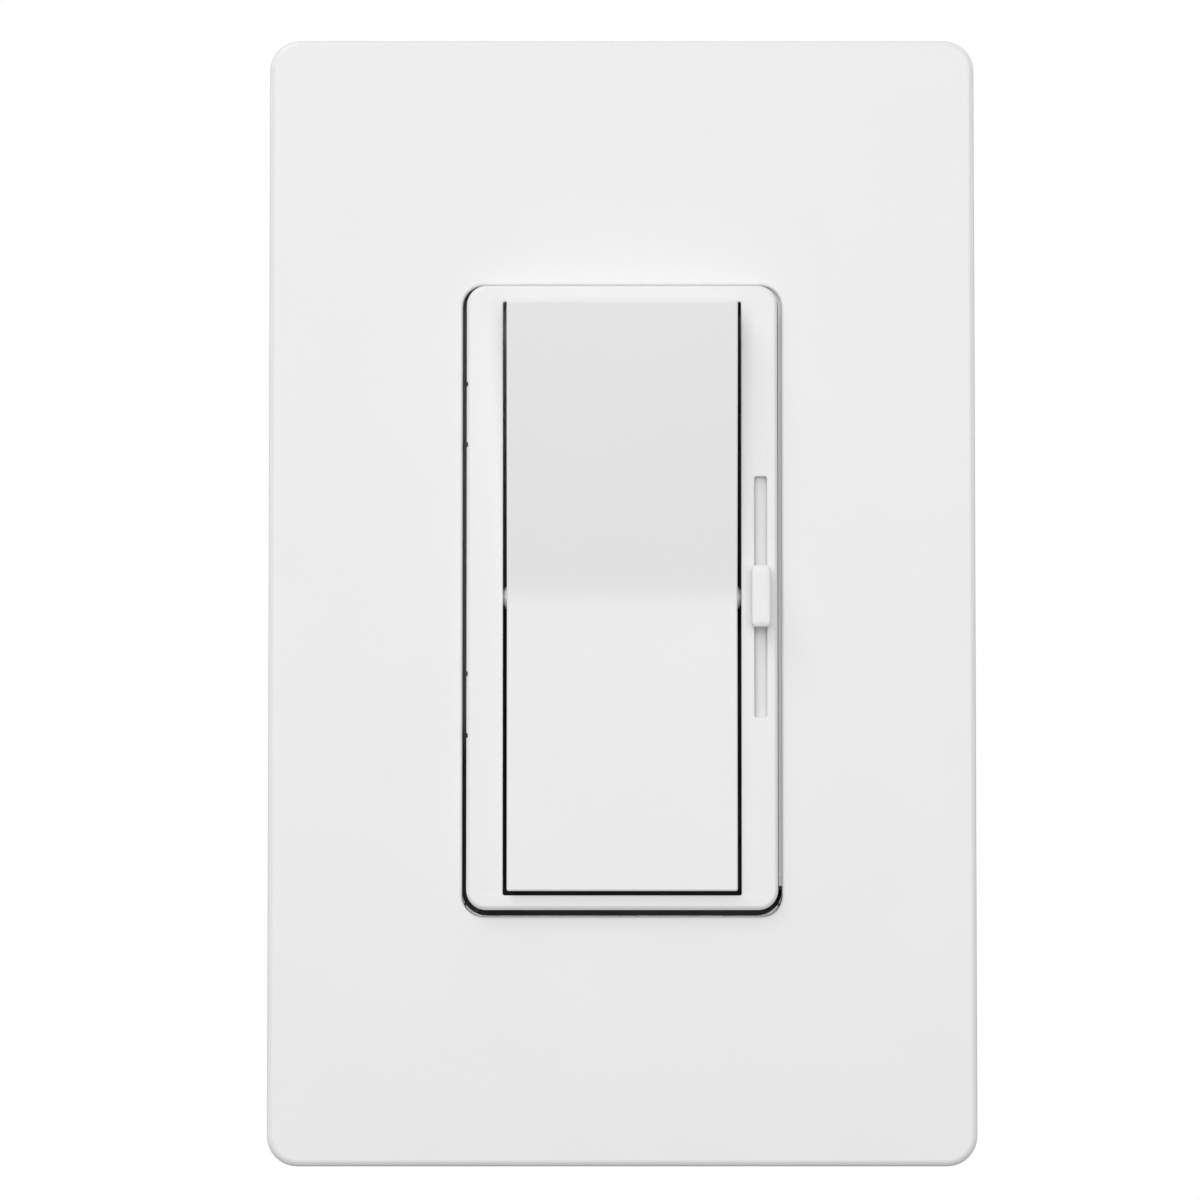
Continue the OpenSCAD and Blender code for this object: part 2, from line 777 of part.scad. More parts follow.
module trigger_diode() {
  radius = 0.9;
  y = board_y - 0.3 - radius;
  color("indianred") {
    z_rod(radius, -24, -20, -14, y);
    z_rod(0.25, -26, -18, -14, y);
    for (z = [-26, -18]) y_rod(0.3, y - 0.3, board_y, -14, z);
  }
}

module controller_chip() {
  pins = 7;
  color("black") {
    block(-7, 3, board_y - 1.9, board_y - 0.2, -24, -20);
    for (i = [0:pins - 1], s = [-1, 1])
      translate([-6.2 + i * 1.4, 0, -22 + s * 2.5])
        block(-0.2, 0.2, board_y - 1, board_y, -0.6, 0.6);
  }
}

// ---------- Rear housing ----------

module terminal_places() {
  translate([housing_w / 2, terminal_y, terminal_z]) children();
  translate([housing_w / 2, terminal_y, -terminal_z]) children();
  mirror([1, 0, 0]) translate([housing_w / 2, terminal_y, terminal_z]) children();
}

module back_housing() {
  inner_w = housing_w - 2 * housing_t;
  inner_h = housing_h - 2 * housing_t;
  outer = pocket_half + pocket_wall;
  color("dimgray") difference() {
    union() {
      difference() {
        plate(0, housing_d) rounded(housing_w, housing_h, 2.5);
        plate(-EPS, housing_d - housing_t) rounded(inner_w, inner_h, 1);
      }
      // Inner walls of the terminal pockets
      terminal_places()
        block(-pocket_depth - pocket_wall, -housing_t + EPS, -outer, outer - 0.3, -outer, outer);
      // Bosses for the housing screws
      for (sx = [-1, 1], sz = [-1, 1]) {
        y_rod(2.1, 0, 14, sx * corner_x, sz * corner_z);
        block(sx > 0 ? corner_x : -inner_w / 2 - EPS, sx > 0 ? inner_w / 2 + EPS : -corner_x,
              0, 14, sz * corner_z - 0.8, sz * corner_z + 0.8);
        y_rod(1.8, board_back, housing_d - housing_t + EPS, sx * 17.5, sz * 28);
      }
    }
    terminal_places() {
      block(-pocket_depth, 1, -pocket_half, pocket_half - 0.3, -pocket_half, pocket_half);
      x_rod(2.0, -pocket_depth - pocket_wall - 1, 0, 0, 0);
      // Shallow groove that leads the wire in from behind
      block(-groove_d, 1, 0, housing_d, 1.2, 4.2);
    }
    for (sx = [-1, 1], sz = [-1, 1]) y_rod(1.22, -1, 13, sx * corner_x, sz * corner_z);
    // Shallow vent grooves across the rear wall
    for (z = [-24:8:24])
      plate(housing_d - 0.6, housing_d + 1) translate([0, z]) rounded(26, 1.6, 0.79);
  }
}

module housing_screws() {
  color("silver") for (sx = [-1, 1], sz = [-1, 1])
    translate([sx * corner_x, 0, sz * corner_z]) difference() {
    union() {
      y_cone(2.2, 1.2, -strap_t, -strap_t + 1);
      y_rod(1.2, -strap_t + 1 - EPS, 12);
    }
    block(-0.3, 0.3, -strap_t - 1, -strap_t + 0.5, -1.4, 1.4);
    block(-1.4, 1.4, -strap_t - 1, -strap_t + 0.5, -0.3, 0.3);
  }
}

// A terminal screw whose head faces away from the housing
module terminal_screw() {
  head_r = 3.6;
  head_t = 1.7;
  shank = 9;
  difference() {
    union() {
      x_rod(head_r, -head_t, 0, 0, 0);
      x_rod(1.85, -shank, -head_t + EPS, 0, 0);
    }
    block(-0.8, 1, -head_r, head_r, -0.5, 0.5);
    block(-0.8, 1, -0.5, 0.5, -2.3, 2.3);
  }
}

module black_terminal_screw() {
  color("black") mirror([1, 0, 0]) translate([housing_w / 2, terminal_y, terminal_z]) terminal_screw();
}

module brass_terminal_screws() {
  color("gold") for (s = [-1, 1])
    translate([housing_w / 2, terminal_y, s * terminal_z]) terminal_screw();
}

module clamp_plates() {
  color("silver") terminal_places() difference() {
    block(-2.6, -1.8, -4.2, 4.2, -4.2, 4.2);
    x_rod(1.95, -4, 0, 0, 0);
  }
}

module terminal_plates() {
  color("goldenrod") terminal_places() difference() {
    block(-pocket_depth, -pocket_depth + 1, -4.5, 4.5, -4.5, 4.5);
    x_rod(1.9, -pocket_depth - 1, 0, 0, 0);
  }
}

module ground_screw() {
  head_z = -38.6;
  head_t = 1.7;
  color("green") translate([-8.5, 5, 0]) difference() {
    union() {
      z_rod(3.6, head_z, head_z + head_t);
      z_rod(1.85, head_z + head_t - EPS, -34.7);
    }
    block(-3.6, 3.6, -0.5, 0.5, head_z - 1, head_z + 0.8);
    block(-0.5, 0.5, -2.3, 2.3, head_z - 1, head_z + 0.8);
  }
}

// ---------- Assembly ----------

wallplate_cover();
snap_adapter();
adapter_screws();
yoke();
device_screws();
screw_retainers();
front_bezel();
paddle();
toggle_plunger();
toggle_spring();
slider_knob();
slider_carriage();
dust_shield();
pot_shell();
pot_track();
pot_lever();
pot_wiper();
trim_dial();
trim_pot();
switch_base();
contact_rocker();
moving_contacts();
fixed_contacts();
common_terminal();
upper_terminal();
lower_terminal();
circuit_board();
triac();
triac_rivet();
insulating_pad();
choke_core();
choke_winding();
film_capacitor();
smoothing_capacitor();
resistors();
trigger_diode();
controller_chip();
back_housing();
housing_screws();
black_terminal_screw();
brass_terminal_screws();
ground_screw();
clamp_plates();
terminal_plates();
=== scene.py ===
"""Looks of the paddle dimmer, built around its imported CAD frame.

Metres, +X right and +Z up as seen from the room, +Y into the wall.
"""

import json
import math

import bmesh
import bpy
from mathutils import Matrix, Vector
from mathutils.geometry import tessellate_polygon


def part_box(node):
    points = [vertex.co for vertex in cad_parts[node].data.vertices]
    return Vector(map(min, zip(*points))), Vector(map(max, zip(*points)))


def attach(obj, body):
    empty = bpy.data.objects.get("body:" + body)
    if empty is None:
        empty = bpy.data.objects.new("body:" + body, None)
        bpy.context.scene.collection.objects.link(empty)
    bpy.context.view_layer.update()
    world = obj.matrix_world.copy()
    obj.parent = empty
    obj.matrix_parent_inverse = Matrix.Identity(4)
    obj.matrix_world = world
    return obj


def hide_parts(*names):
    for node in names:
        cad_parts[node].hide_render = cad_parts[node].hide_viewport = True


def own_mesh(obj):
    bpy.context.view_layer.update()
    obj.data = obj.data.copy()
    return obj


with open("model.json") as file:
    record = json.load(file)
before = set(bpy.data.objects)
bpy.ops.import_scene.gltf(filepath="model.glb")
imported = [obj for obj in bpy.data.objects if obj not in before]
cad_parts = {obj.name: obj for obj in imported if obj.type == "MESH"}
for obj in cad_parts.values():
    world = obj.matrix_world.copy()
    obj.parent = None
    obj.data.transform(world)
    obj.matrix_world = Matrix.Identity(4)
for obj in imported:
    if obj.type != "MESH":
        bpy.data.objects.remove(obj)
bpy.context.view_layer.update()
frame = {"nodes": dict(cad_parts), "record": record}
cad = frame["nodes"]

MM = 0.001
CORNER_STEPS = 8
RIM_STEPS = 4
LATHE_STEPS = 48
SHARP = math.radians(32)
TINY = 0.02 * MM
# Edges of small moulded details, and of cutters that leave crisp corners
SOFT = 0.15 * MM
CRISP = (0.02 * MM, 0.03 * MM)
# How far a cutter passes the surface that it cuts
PAST = MM

# Wallplate
PLATE_R = 3.2 * MM
PLATE_T = 1.8 * MM
PLATE_EDGE = 0.7 * MM
PLATE_INNER_R = 1.6 * MM
CAVITY_EDGE = 0.5 * MM
WINDOW = (33.7 * MM, 66.7 * MM)
WINDOW_R = 2.2 * MM
WINDOW_EDGE = 0.3 * MM
WINDOW_LIP = 1.2 * MM
LIP_T = 2.7 * MM
LIP_EDGE = 0.2 * MM
PRY_X = (-4 * MM, 4 * MM)
PRY_Y = (-1.2 * MM, 1 * MM)
# Ribs that the adapter's teeth pass
SNAP_HALF = 4.5 * MM
SNAP_OUT = 0.7 * MM
SNAP_Y = (-3.3 * MM, -2.6 * MM)
SNAP_SIDE_Z = (-38 * MM, 0, 38 * MM)
SNAP_END_X = (-20 * MM, 20 * MM)
RIB_ROOT = 0.3 * MM

# Bezel
BEZEL_BACK = -1.6 * MM
BEZEL_R = 2.1 * MM
BEZEL_HALF_H = 32.95 * MM
BEZEL_EDGE = 0.45 * MM
OPENING_HALF_W = 12.555 * MM
OPENING_Z = (-31.4 * MM, 31.2 * MM)
OPENING_R = 0.2 * MM
OPENING_EDGE = 0.12 * MM
POCKET_X = (-15.3 * MM, -13.7 * MM)
POCKET_Z = ((3 * MM, 31.2 * MM), (-31.2 * MM, -3 * MM))
POCKET_R = 0.2 * MM
POCKET_ROOF = 1.6 * MM
BORE_R = 0.95 * MM
BORE_HALF = 13.75 * MM
# Room for the trim dial and its shaft
DIAL_ROOM = ((11.5 * MM, 17.5 * MM), (-5 * MM, -2.45 * MM), (-31.2 * MM, -20.8 * MM))
DIAL_X, DIAL_Z = 13 * MM, -26 * MM
SHAFT_R = 1.8 * MM
SHAFT_HALF = 3 * MM
# Small notches in the left wall, as depth and height
NOTCH_Z = [z * MM for z in (22.5, 16.1, -8.1, -14.6)]
NOTCH = (0.16 * MM, 0.5 * MM)
# Spring clips, and their hooks' corners as depth and height in millimetres
CLIP_X = (-8 * MM, 8 * MM)
CLIP_HALF = 2.5 * MM
CLIP_Y = (-2.4 * MM, 2.2 * MM)
CLIP_Z = (31.5 * MM, 32.5 * MM)
HOOK = ((0.15, 31.6), (0.15, 30.95), (0.6, 30.95), (2.2, 31.6))

# Gaps round the bezel and the paddle. The white shows down to a depth, below it the walls carry
# painted shade, and a lip closes the floor
WHITE_DEPTH = 0.8 * MM
LIP_W = 0.6 * MM
LIP_H = 0.5 * MM
NEAR = 0.1 * MM
# Heights that the painted shade in the gaps reaches: round the paddle, left of the bezel and right
# of it
PADDLE_DARK = 31.6 * MM
CORNER_DARK = 32.5 * MM
RIGHT_DARK = -30.4 * MM
# Left of these the painted shade is lighter, round the bezel and round the paddle
BEZEL_LEFT = -15 * MM
PADDLE_LEFT = -11.5 * MM
DIAL_SIDE = 16 * MM
# Rib in the gap right of the bezel
RIB_GAP = 0.12 * MM
RIB_T = 0.6 * MM
RIB_DEPTH = 1.0 * MM

# Slide control
SLOT_X = 14.6 * MM
SLOT_W = 1.3 * MM
SLOT_L = 25.4 * MM
SLOT_EDGE = 0.12 * MM
FACE_T = 0.7 * MM
CHANNEL_HALF = (1.2 * MM, 31.9 * MM)
CHANNEL_R = 0.3 * MM
KNOB_BACK = -9.05 * MM
KNOB_R = 0.55 * MM
KNOB_EDGE = 0.22 * MM
KNOB_BACK_EDGE = 0.1 * MM
KNOB_CROWN = 0.06 * MM
# The knob's crown, as insets from its rounded edge and the share of the fall left there
KNOB_FALL = ((0.2 * MM, 0.4), (0.42 * MM, 0.0))
STEM_HALF = (0.5 * MM, 2.9 * MM)
STEM_ROOT = 0.2 * MM

# Paddle, in the frame of its pivot
PIVOT_Y = -7 * MM
HALF_TURN = math.radians(3.1)
CREASE_Y = 2.904 * MM
CREASE_SOFT = 1.1 * MM
PADDLE_W = 24.25 * MM
PADDLE_TOP = 31.19 * MM
PADDLE_BOTTOM = 30.75 * MM
PADDLE_EDGE = 0.2 * MM
PADDLE_R = 0.22 * MM
PADDLE_SKIN = 1.5 * MM
PADDLE_WALL = 1.3 * MM
PADDLE_DEPTH = 3.3 * MM
PADDLE_SOFT = 0.12 * MM
PADDLE_INNER_R = 0.4 * MM
PADDLE_FILLET = 0.3 * MM
END_RELIEF = 0.34 * MM
# Heights of the face's rungs either side of the crease, and of the ribs, in millimetres
RUNGS = (0, 0.4, 0.8, 1.2, 1.7, 2.4, 3.4, 5, 8, 12, 18, 24)
STIFFENERS = (-24, -16, -8, 8, 16, 24)
STIFFENER_Y = (0.8 * MM, 2.6 * MM)
STIFFENER_HALF = 0.5
EAR_R = 2.3 * MM
PIVOT_R = 0.9 * MM
PIVOT_OUT = 1.05 * MM
COLLAR_R = 1.15 * MM
COLLAR_T = 0.25 * MM
# Trunnion's inner ends, short of the paddle's side: boss, pin and collar
EAR_SHORT = 0.02 * MM
PIN_ROOT = 0.5 * MM
COLLAR_ROOT = 0.3 * MM
PIN_EDGE = 0.1 * MM
# Hub round the toggle plunger, as radii outside and inside, and its two ends
SWITCH_X = -5 * MM
HUB_ROOT = 0.4 * MM
HUB_R = (3.1 * MM, 2.05 * MM)
HUB_END = 4.6 * MM
HUB_EDGE = 0.1 * MM

# Toggle spring, in the same frame
SPRING_R = 1.55 * MM
WIRE_R = 0.22 * MM
SPRING_TURNS = 5
SPRING_STEPS = 24
WIRE_SIDES = 10
SPRING_PLAY = 0.05 * MM
SPRING_TOP = 2.55 * MM

# Screws: radius and height of the head, radii of the neck and thread, width of the drive's
# slot, half length of its cross arm, and how far past the seat the thread starts
DRIVE_DEPTH = 0.8 * MM
NECK_OVERLAP = 0.2 * MM
MOUNTING_SCREW = {
    "head": (3.4 * MM, 1.8 * MM), "neck": (1.4 * MM, 1.75 * MM),
    "slot": 1.0 * MM, "cross": 2.2 * MM, "start": 2.05 * MM,
}
FRAME_SCREW = {"head": (3.2 * MM, 1.5 * MM), "neck": (1.3 * MM, 1.6 * MM), "slot": 0.9 * MM}
TERMINAL_SCREW = {
    "head": (3.6 * MM, 1.7 * MM), "neck": (1.4 * MM, 1.85 * MM),
    "slot": 1.0 * MM, "cross": 2.3 * MM,
}
# Height of each pair of screws above the middle, and the depth of their heads' seat
MOUNTING_PLACE = (41.65 * MM, -1.6 * MM)
FRAME_PLACE = (48.4 * MM, -3.6 * MM)
# Depth and height of the side terminals, and their screws' seat and length
TERMINAL_Y, TERMINAL_Z = 14 * MM, 12 * MM
TERMINAL_SEAT = 1.7 * MM
TERMINAL_LENGTH = 7.3 * MM
GROUND_X, GROUND_Y = -8.5 * MM, 5 * MM

# Camera
CAMERA_DISTANCE = 0.57
CAMERA_RISE = math.radians(-3.0)
CAMERA_ASIDE = -2.33 * MM
CAMERA_ABOVE = 0.03 * MM
SENSOR = 36
LENS = 162

# Studio, in metres and watts
AMBIENT = 0.35
FLOOR_R = 2.2
FLOOR_DROP = 0.45
LIGHTS = (
    ("key", (-0.7, -1.1, 1.5), (1.3, 1.3), 14.6),
    ("front", (0, -2.2, 0.40), (2.4, 1.3), 24.0),
    ("back", (0.6, 2.2, 1.1), (2.4, 1.6), 14.0),
    ("side_-1", (-2.2, 0.5, 0.7), (1.4, 1.4), 10.0),
    ("side_1", (2.2, 0.5, 0.7), (1.4, 1.4), 10.0),
)


# ---------- Mesh building ----------


class Shell:
    """A closed surface made of rings of points."""

    def __init__(self):
        self.points = []
        self.faces = []

    def ring(self, points):
        start = len(self.points)
        self.points.extend(Vector(p) for p in points)
        return list(range(start, len(self.points)))

    def bands(self, rings):
        """Quads between each ring and the next."""
        for a, b in zip(rings, rings[1:]):
            for i in range(len(a)):
                j = (i + 1) % len(a)
                self.faces.append((a[i], a[j], b[j], b[i]))

    def cap(self, *rings):
        """A flat face inside the first ring, with the other rings as holes."""
        index = [i for ring in rings for i in ring]
        loops = [[self.points[i] for i in ring] for ring in rings]
        self.faces += [tuple(index[k] for k in tri) for tri in tessellate_polygon(loops)]

    def ladder(self, ring):
        """Rungs across a ring that is the same left and right and starts at its top left."""
        half = len(ring) // 2
        left, right = ring[:half], ring[half:][::-1]
        for i in range(half - 1):
            self.faces.append((left[i], left[i + 1], right[i + 1], right[i]))

    def fan(self, ring, tip):
        """Triangles from a ring to one point."""
        end = self.ring([tip])[0]
        for i in range(len(ring)):
            self.faces.append((ring[i], ring[(i + 1) % len(ring)], end))

    def add(self, other, matrix=None):
        """Takes in another shell, moved by matrix."""
        start = len(self.points)
        points = other.points if matrix is None else [matrix @ p for p in other.points]
        self.points.extend(points)
        self.faces += [tuple(i + start for i in face) for face in other.faces]
        return self

    def move(self, matrix):
        self.points = [matrix @ p for p in self.points]
        return self


def make(name, shell, body, *nodes):
    """A shaded piece from a shell, which rides on a body and stands for CAD nodes."""
    mesh = bpy.data.meshes.new(name)
    mesh.from_pydata([tuple(p) for p in shell.points], [], shell.faces)
    piece = bpy.data.objects.new(name, mesh)
    bpy.context.scene.collection.objects.link(piece)
    tidy_mesh(mesh)
    if body:
        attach(piece, body)
        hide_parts(*nodes)
    return piece


def tidy_mesh(mesh):
    """Joins doubled points, turns faces outwards and marks the sharp edges."""
    bm = bmesh.new()
    bm.from_mesh(mesh)
    bmesh.ops.remove_doubles(bm, verts=bm.verts, dist=1e-7)
    bmesh.ops.dissolve_degenerate(bm, edges=bm.edges, dist=1e-7)
    bmesh.ops.recalc_face_normals(bm, faces=bm.faces)
    for face in bm.faces:
        face.smooth = True
    for edge in bm.edges:
        edge.smooth = len(edge.link_faces) == 2 and edge.calc_face_angle(0) < SHARP
    bm.to_mesh(mesh)
    bm.free()


def weigh_normals(piece):
    """Keeps flat faces flat beside their rounded edges."""
    weighted = piece.modifiers.new("flat_faces", "WEIGHTED_NORMAL")
    weighted.keep_sharp = True
    weighted.weight = 80


def cut(piece, shell):
    """Takes a shell's space out of a piece."""
    cutter = make(piece.name + "_cutter", shell, None)
    boolean = piece.modifiers.new("cut", "BOOLEAN")
    boolean.operation = "DIFFERENCE"
    boolean.solver = "EXACT"
    boolean.object = cutter
    graph = bpy.context.evaluated_depsgraph_get()
    result = bpy.data.meshes.new_from_object(piece.evaluated_get(graph))
    piece.modifiers.clear()
    old, piece.data = piece.data, result
    bpy.data.meshes.remove(old)
    bpy.data.objects.remove(cutter)
    tidy_mesh(result)


def join(piece, other):
    """Puts another piece's mesh into a piece. Details that overlap it are joined after its cuts."""
    bm = bmesh.new()
    bm.from_mesh(piece.data)
    bm.from_mesh(other.data)
    bm.to_mesh(piece.data)
    bm.free()
    mesh = other.data
    bpy.data.objects.remove(other)
    bpy.data.meshes.remove(mesh)


def rectangle(x, z, radius, levels=()):
    """Outline between two x and two z values, as points at an inset and a depth.

    It starts at its top left, and levels adds points to its sides at those heights.
    """

    def at(inset, y, top=0.0):
        r = max(radius - inset, TINY)
        x0, x1 = x[0] + inset, x[1] - inset
        z0, z1 = z[0] + inset, z[1] - inset - top
        points = []
        for k, (cx, cz) in enumerate(
            ((x0 + r, z1 - r), (x0 + r, z0 + r), (x1 - r, z0 + r), (x1 - r, z1 - r))
        ):
            for i in range(CORNER_STEPS + 1):
                a = math.radians(90 * (k + 1 + i / CORNER_STEPS))
                points.append((cx + r * math.cos(a), y, cz + r * math.sin(a)))
            if k == 0:
                points += [(x0, y, level) for level in sorted(levels, reverse=True)]
            if k == 2:
                points += [(x1, y, level) for level in sorted(levels)]
        return points

    return at


def centred(w, h, radius, x=0.0, z=0.0):
    """Outline of a width and height about a middle."""
    return rectangle((x - w / 2, x + w / 2), (z - h / 2, z + h / 2), radius)


def rounding(radius, y, side=1, steps=RIM_STEPS):
    """Insets and depths round an edge. side 1 comes up an outer wall, -1 goes down a hole's."""
    turn = [math.radians(90 * i / steps) for i in range(steps + 1)]
    arc = [(radius * (1 - math.cos(a)), y + radius * (1 - math.sin(a))) for a in turn]
    if side > 0:
        return arc
    return [(-inset, depth) for inset, depth in arc[::-1]]


def bar(x, y, z, edge=0.12 * MM, radius=SOFT):
    """A small moulded bar between two x, two y and two z values, with its edges broken."""
    shell = Shell()
    outline = rectangle(x, z, radius)
    rims = [(edge, y[0]), (0, y[0] + edge), (0, y[1] - edge), (edge, y[1])]
    rings = [shell.ring(outline(*rim)) for rim in rims]
    shell.bands(rings)
    shell.ladder(rings[0])
    shell.ladder(rings[-1])
    return shell


def lathe(profile):
    """A turned shape on the Y axis from (radius, y) pairs that start and end on the axis."""
    shell = Shell()
    rings = []
    turn = [math.tau * i / LATHE_STEPS for i in range(LATHE_STEPS)]
    for radius, y in profile[1:-1]:
        rings.append(shell.ring([(radius * math.cos(a), y, radius * math.sin(a)) for a in turn]))
    shell.bands(rings)
    shell.fan(rings[0], (0, profile[0][1], 0))
    shell.fan(rings[-1], (0, profile[-1][1], 0))
    return shell


def rod(radius, y0, y1):
    """A plain round rod on the Y axis."""
    return lathe([(0, y0), (radius, y0), (radius, y1), (0, y1)])


def thread(radius, y0, y1):
    """A helical screw thread on the Y axis with a tapered tip, at 32 turns to the inch."""
    pitch = 0.794 * MM
    depth = 0.55 * pitch
    steps, per_turn = 32, 8
    count = int((y1 - y0) / pitch * per_turn)
    shell = Shell()
    rings = []
    for k in range(count + 1):
        y = y0 + (y1 - y0) * k / count
        tip = min(1.0, 0.62 + 0.38 * (y1 - y) / (2 * pitch))
        ring = []
        for i in range(steps):
            phase = (y / pitch - i / steps) % 1.0
            ridge = max(0.0, 1 - abs(2 * phase - 1) * 1.25)
            r = (radius - depth + depth * ridge) * tip
            a = math.tau * i / steps
            ring.append((r * math.cos(a), y, r * math.sin(a)))
        rings.append(shell.ring(ring))
    shell.bands(rings)
    shell.fan(rings[0], (0, y0, 0))
    shell.fan(rings[-1], (0, y1, 0))
    return shell


# ---------- Materials ----------


# Sockets of a Mix node that mixes colours
MIX_FACTOR, MIX_A, MIX_B, MIX_COLOUR = 0, 6, 7, 2


class Finish:
    """A principled material whose inputs can vary over the surface."""

    def __init__(self, name, colour, roughness, metallic=0.0):
        self.material = bpy.data.materials.new(name)
        self.material.use_nodes = True
        self.nodes = self.material.node_tree.nodes
        self.links = self.material.node_tree.links
        self.shader = self.nodes["Principled BSDF"]
        self.colour = (*colour, 1.0)
        self.shader.inputs["Base Color"].default_value = self.colour
        self.shader.inputs["Roughness"].default_value = roughness
        self.shader.inputs["Metallic"].default_value = metallic
        self.material.diffuse_color = self.colour
        self.roughness = roughness

    def noise(self, size, detail=3.0, stretch=(1, 1, 1)):
        """Noise whose grains are about size across, drawn out along an axis by stretch."""
        place = self.nodes.new("ShaderNodeTexCoord")
        scale = self.nodes.new("ShaderNodeMapping")
        scale.inputs["Scale"].default_value = [1 / (size * s) for s in stretch]
        noise = self.nodes.new("ShaderNodeTexNoise")
        noise.inputs["Scale"].default_value = 1.0
        noise.inputs["Detail"].default_value = detail
        self.links.new(place.outputs["Object"], scale.inputs["Vector"])
        self.links.new(scale.outputs["Vector"], noise.inputs["Vector"])
        return noise.outputs["Fac"]

    def climb(self, low, high):
        """A value that climbs from 0 to 1 between two heights."""
        place = self.nodes.new("ShaderNodeTexCoord")
        split = self.nodes.new("ShaderNodeSeparateXYZ")
        span = self.nodes.new("ShaderNodeMapRange")
        span.inputs["From Min"].default_value = low
        span.inputs["From Max"].default_value = high
        self.links.new(place.outputs["Object"], split.inputs["Vector"])
        self.links.new(split.outputs["Z"], span.inputs["Value"])
        return span.outputs["Result"]

    def tint(self, factor, amount, other=None):
        """Varies the colour between itself and a slightly darker one, or another."""
        mix = self.nodes.new("ShaderNodeMix")
        mix.data_type = "RGBA"
        darker = [c * (1 - amount) for c in self.colour[:3]]
        mix.inputs[MIX_A].default_value = self.colour
        mix.inputs[MIX_B].default_value = (*(other or darker), 1.0)
        self.links.new(factor, mix.inputs[MIX_FACTOR])
        self.links.new(mix.outputs[MIX_COLOUR], self.shader.inputs["Base Color"])

    def gloss(self, factor, spread):
        """Varies the roughness by spread on each side."""
        span = self.nodes.new("ShaderNodeMapRange")
        span.inputs["From Min"].default_value = 0.3
        span.inputs["From Max"].default_value = 0.7
        span.inputs["To Min"].default_value = max(0.02, self.roughness - spread)
        span.inputs["To Max"].default_value = self.roughness + spread
        self.links.new(factor, span.inputs["Value"])
        self.links.new(span.outputs["Result"], self.shader.inputs["Roughness"])

    def relief(self, factor, height):
        """Raises the surface by up to height."""
        bump = self.nodes.new("ShaderNodeBump")
        bump.inputs["Strength"].default_value = 1.0
        bump.inputs["Distance"].default_value = height
        self.links.new(factor, bump.inputs["Height"])
        self.links.new(bump.outputs["Normal"], self.shader.inputs["Normal"])


def moulded(name, colour, roughness, grain, height, mottle):
    """Moulded plastic: a fine skin texture and a slight unevenness of colour and gloss."""
    finish = Finish(name, colour, roughness)
    finish.tint(finish.noise(14 * MM, 2.0), mottle)
    finish.gloss(finish.noise(9 * MM, 0.0), roughness * 0.08)
    finish.relief(finish.noise(grain, 2.0), height)
    return finish


def gloss_white():
    return moulded("gloss_white", (0.84, 0.84, 0.84), 0.24, 0.55 * MM, 0.0012 * MM, 0.012)


def frame_white():
    return moulded("frame_white", (0.72, 0.715, 0.69), 0.52, 0.18 * MM, 0.006 * MM, 0.05)


def nylon():
    return moulded("nylon", (0.66, 0.64, 0.58), 0.45, 0.3 * MM, 0.004 * MM, 0.06)


def shield_grey():
    return moulded("shield_grey", (0.80, 0.80, 0.80), 0.5, 0.15 * MM, 0.004 * MM, 0.05)


def housing_black():
    return moulded("housing_black", (0.022, 0.022, 0.024), 0.42, 0.16 * MM, 0.010 * MM, 0.3)


def phenolic():
    return moulded("phenolic", (0.045, 0.032, 0.026), 0.38, 0.2 * MM, 0.006 * MM, 0.35)


def black_plastic():
    return moulded("black_plastic", (0.03, 0.03, 0.032), 0.5, 0.12 * MM, 0.004 * MM, 0.2)


def gap_shade_ramp(name, grey, shade, low, high):
    """Painted shade down a gap, dark, lightening to a lighter painted shade between two heights."""
    finish = Finish(name, (grey, grey, grey), 0.5)
    finish.tint(finish.climb(low, high), 0, (shade, shade, shade))
    return finish


# Painted shade down the left of the gap round the bezel, lighter towards the top
def bezel_gap_shade():
    return gap_shade_ramp("bezel_gap_shade", 0.11, 0.62, -17 * MM, -12 * MM)


# Painted shade down the gap round the paddle, lighter towards the top
def paddle_gap():
    return gap_shade_ramp("paddle_gap", 0.03, 0.84, -4 * MM, 30 * MM)


def blue_plastic():
    return moulded("blue_plastic", (0.04, 0.14, 0.42), 0.35, 0.3 * MM, 0.004 * MM, 0.08)


def grey_rubber():
    return moulded("grey_rubber", (0.30, 0.31, 0.32), 0.7, 0.1 * MM, 0.006 * MM, 0.12)


def can_sleeve():
    return moulded("can_sleeve", (0.02, 0.03, 0.10), 0.3, 0.8 * MM, 0.004 * MM, 0.2)


def resistor_body():
    return moulded("resistor_body", (0.62, 0.46, 0.28), 0.42, 0.4 * MM, 0.006 * MM, 0.1)


def diode_glass():
    finish = moulded("diode_glass", (0.50, 0.12, 0.04), 0.12, 0.5 * MM, 0.002 * MM, 0.3)
    finish.shader.inputs["Coat Weight"].default_value = 0.6
    return finish


def fibre():
    """Vulcanised fibre: pale paper board with short fibres."""
    finish = Finish("fibre", (0.62, 0.55, 0.40), 0.75)
    fibres = finish.noise(0.25 * MM, 4.0, (1, 1, 3))
    finish.tint(fibres, 0.22)
    finish.relief(fibres, 0.015 * MM)
    return finish


def rolled(name, colour, roughness, along, scratch=0.003 * MM):
    """Rolled sheet metal, with fine lines drawn out along an axis."""
    finish = Finish(name, colour, roughness, 1.0)
    lines = finish.noise(0.12 * MM, 4.0, along)
    finish.tint(finish.noise(6 * MM, 3.0), 0.12)
    finish.gloss(lines, 0.09)
    finish.relief(lines, scratch)
    return finish


def strap_aluminium():
    return rolled("strap_aluminium", (0.80, 0.81, 0.82), 0.36, (1, 1, 60))


def tinned_steel():
    return rolled("tinned_steel", (0.72, 0.72, 0.70), 0.32, (1, 1, 20))


def contact_brass():
    return rolled("contact_brass", (0.78, 0.56, 0.24), 0.30, (1, 1, 20))


def contact_silver():
    return rolled("contact_silver", (0.88, 0.87, 0.83), 0.24, (1, 1, 1), 0.001 * MM)


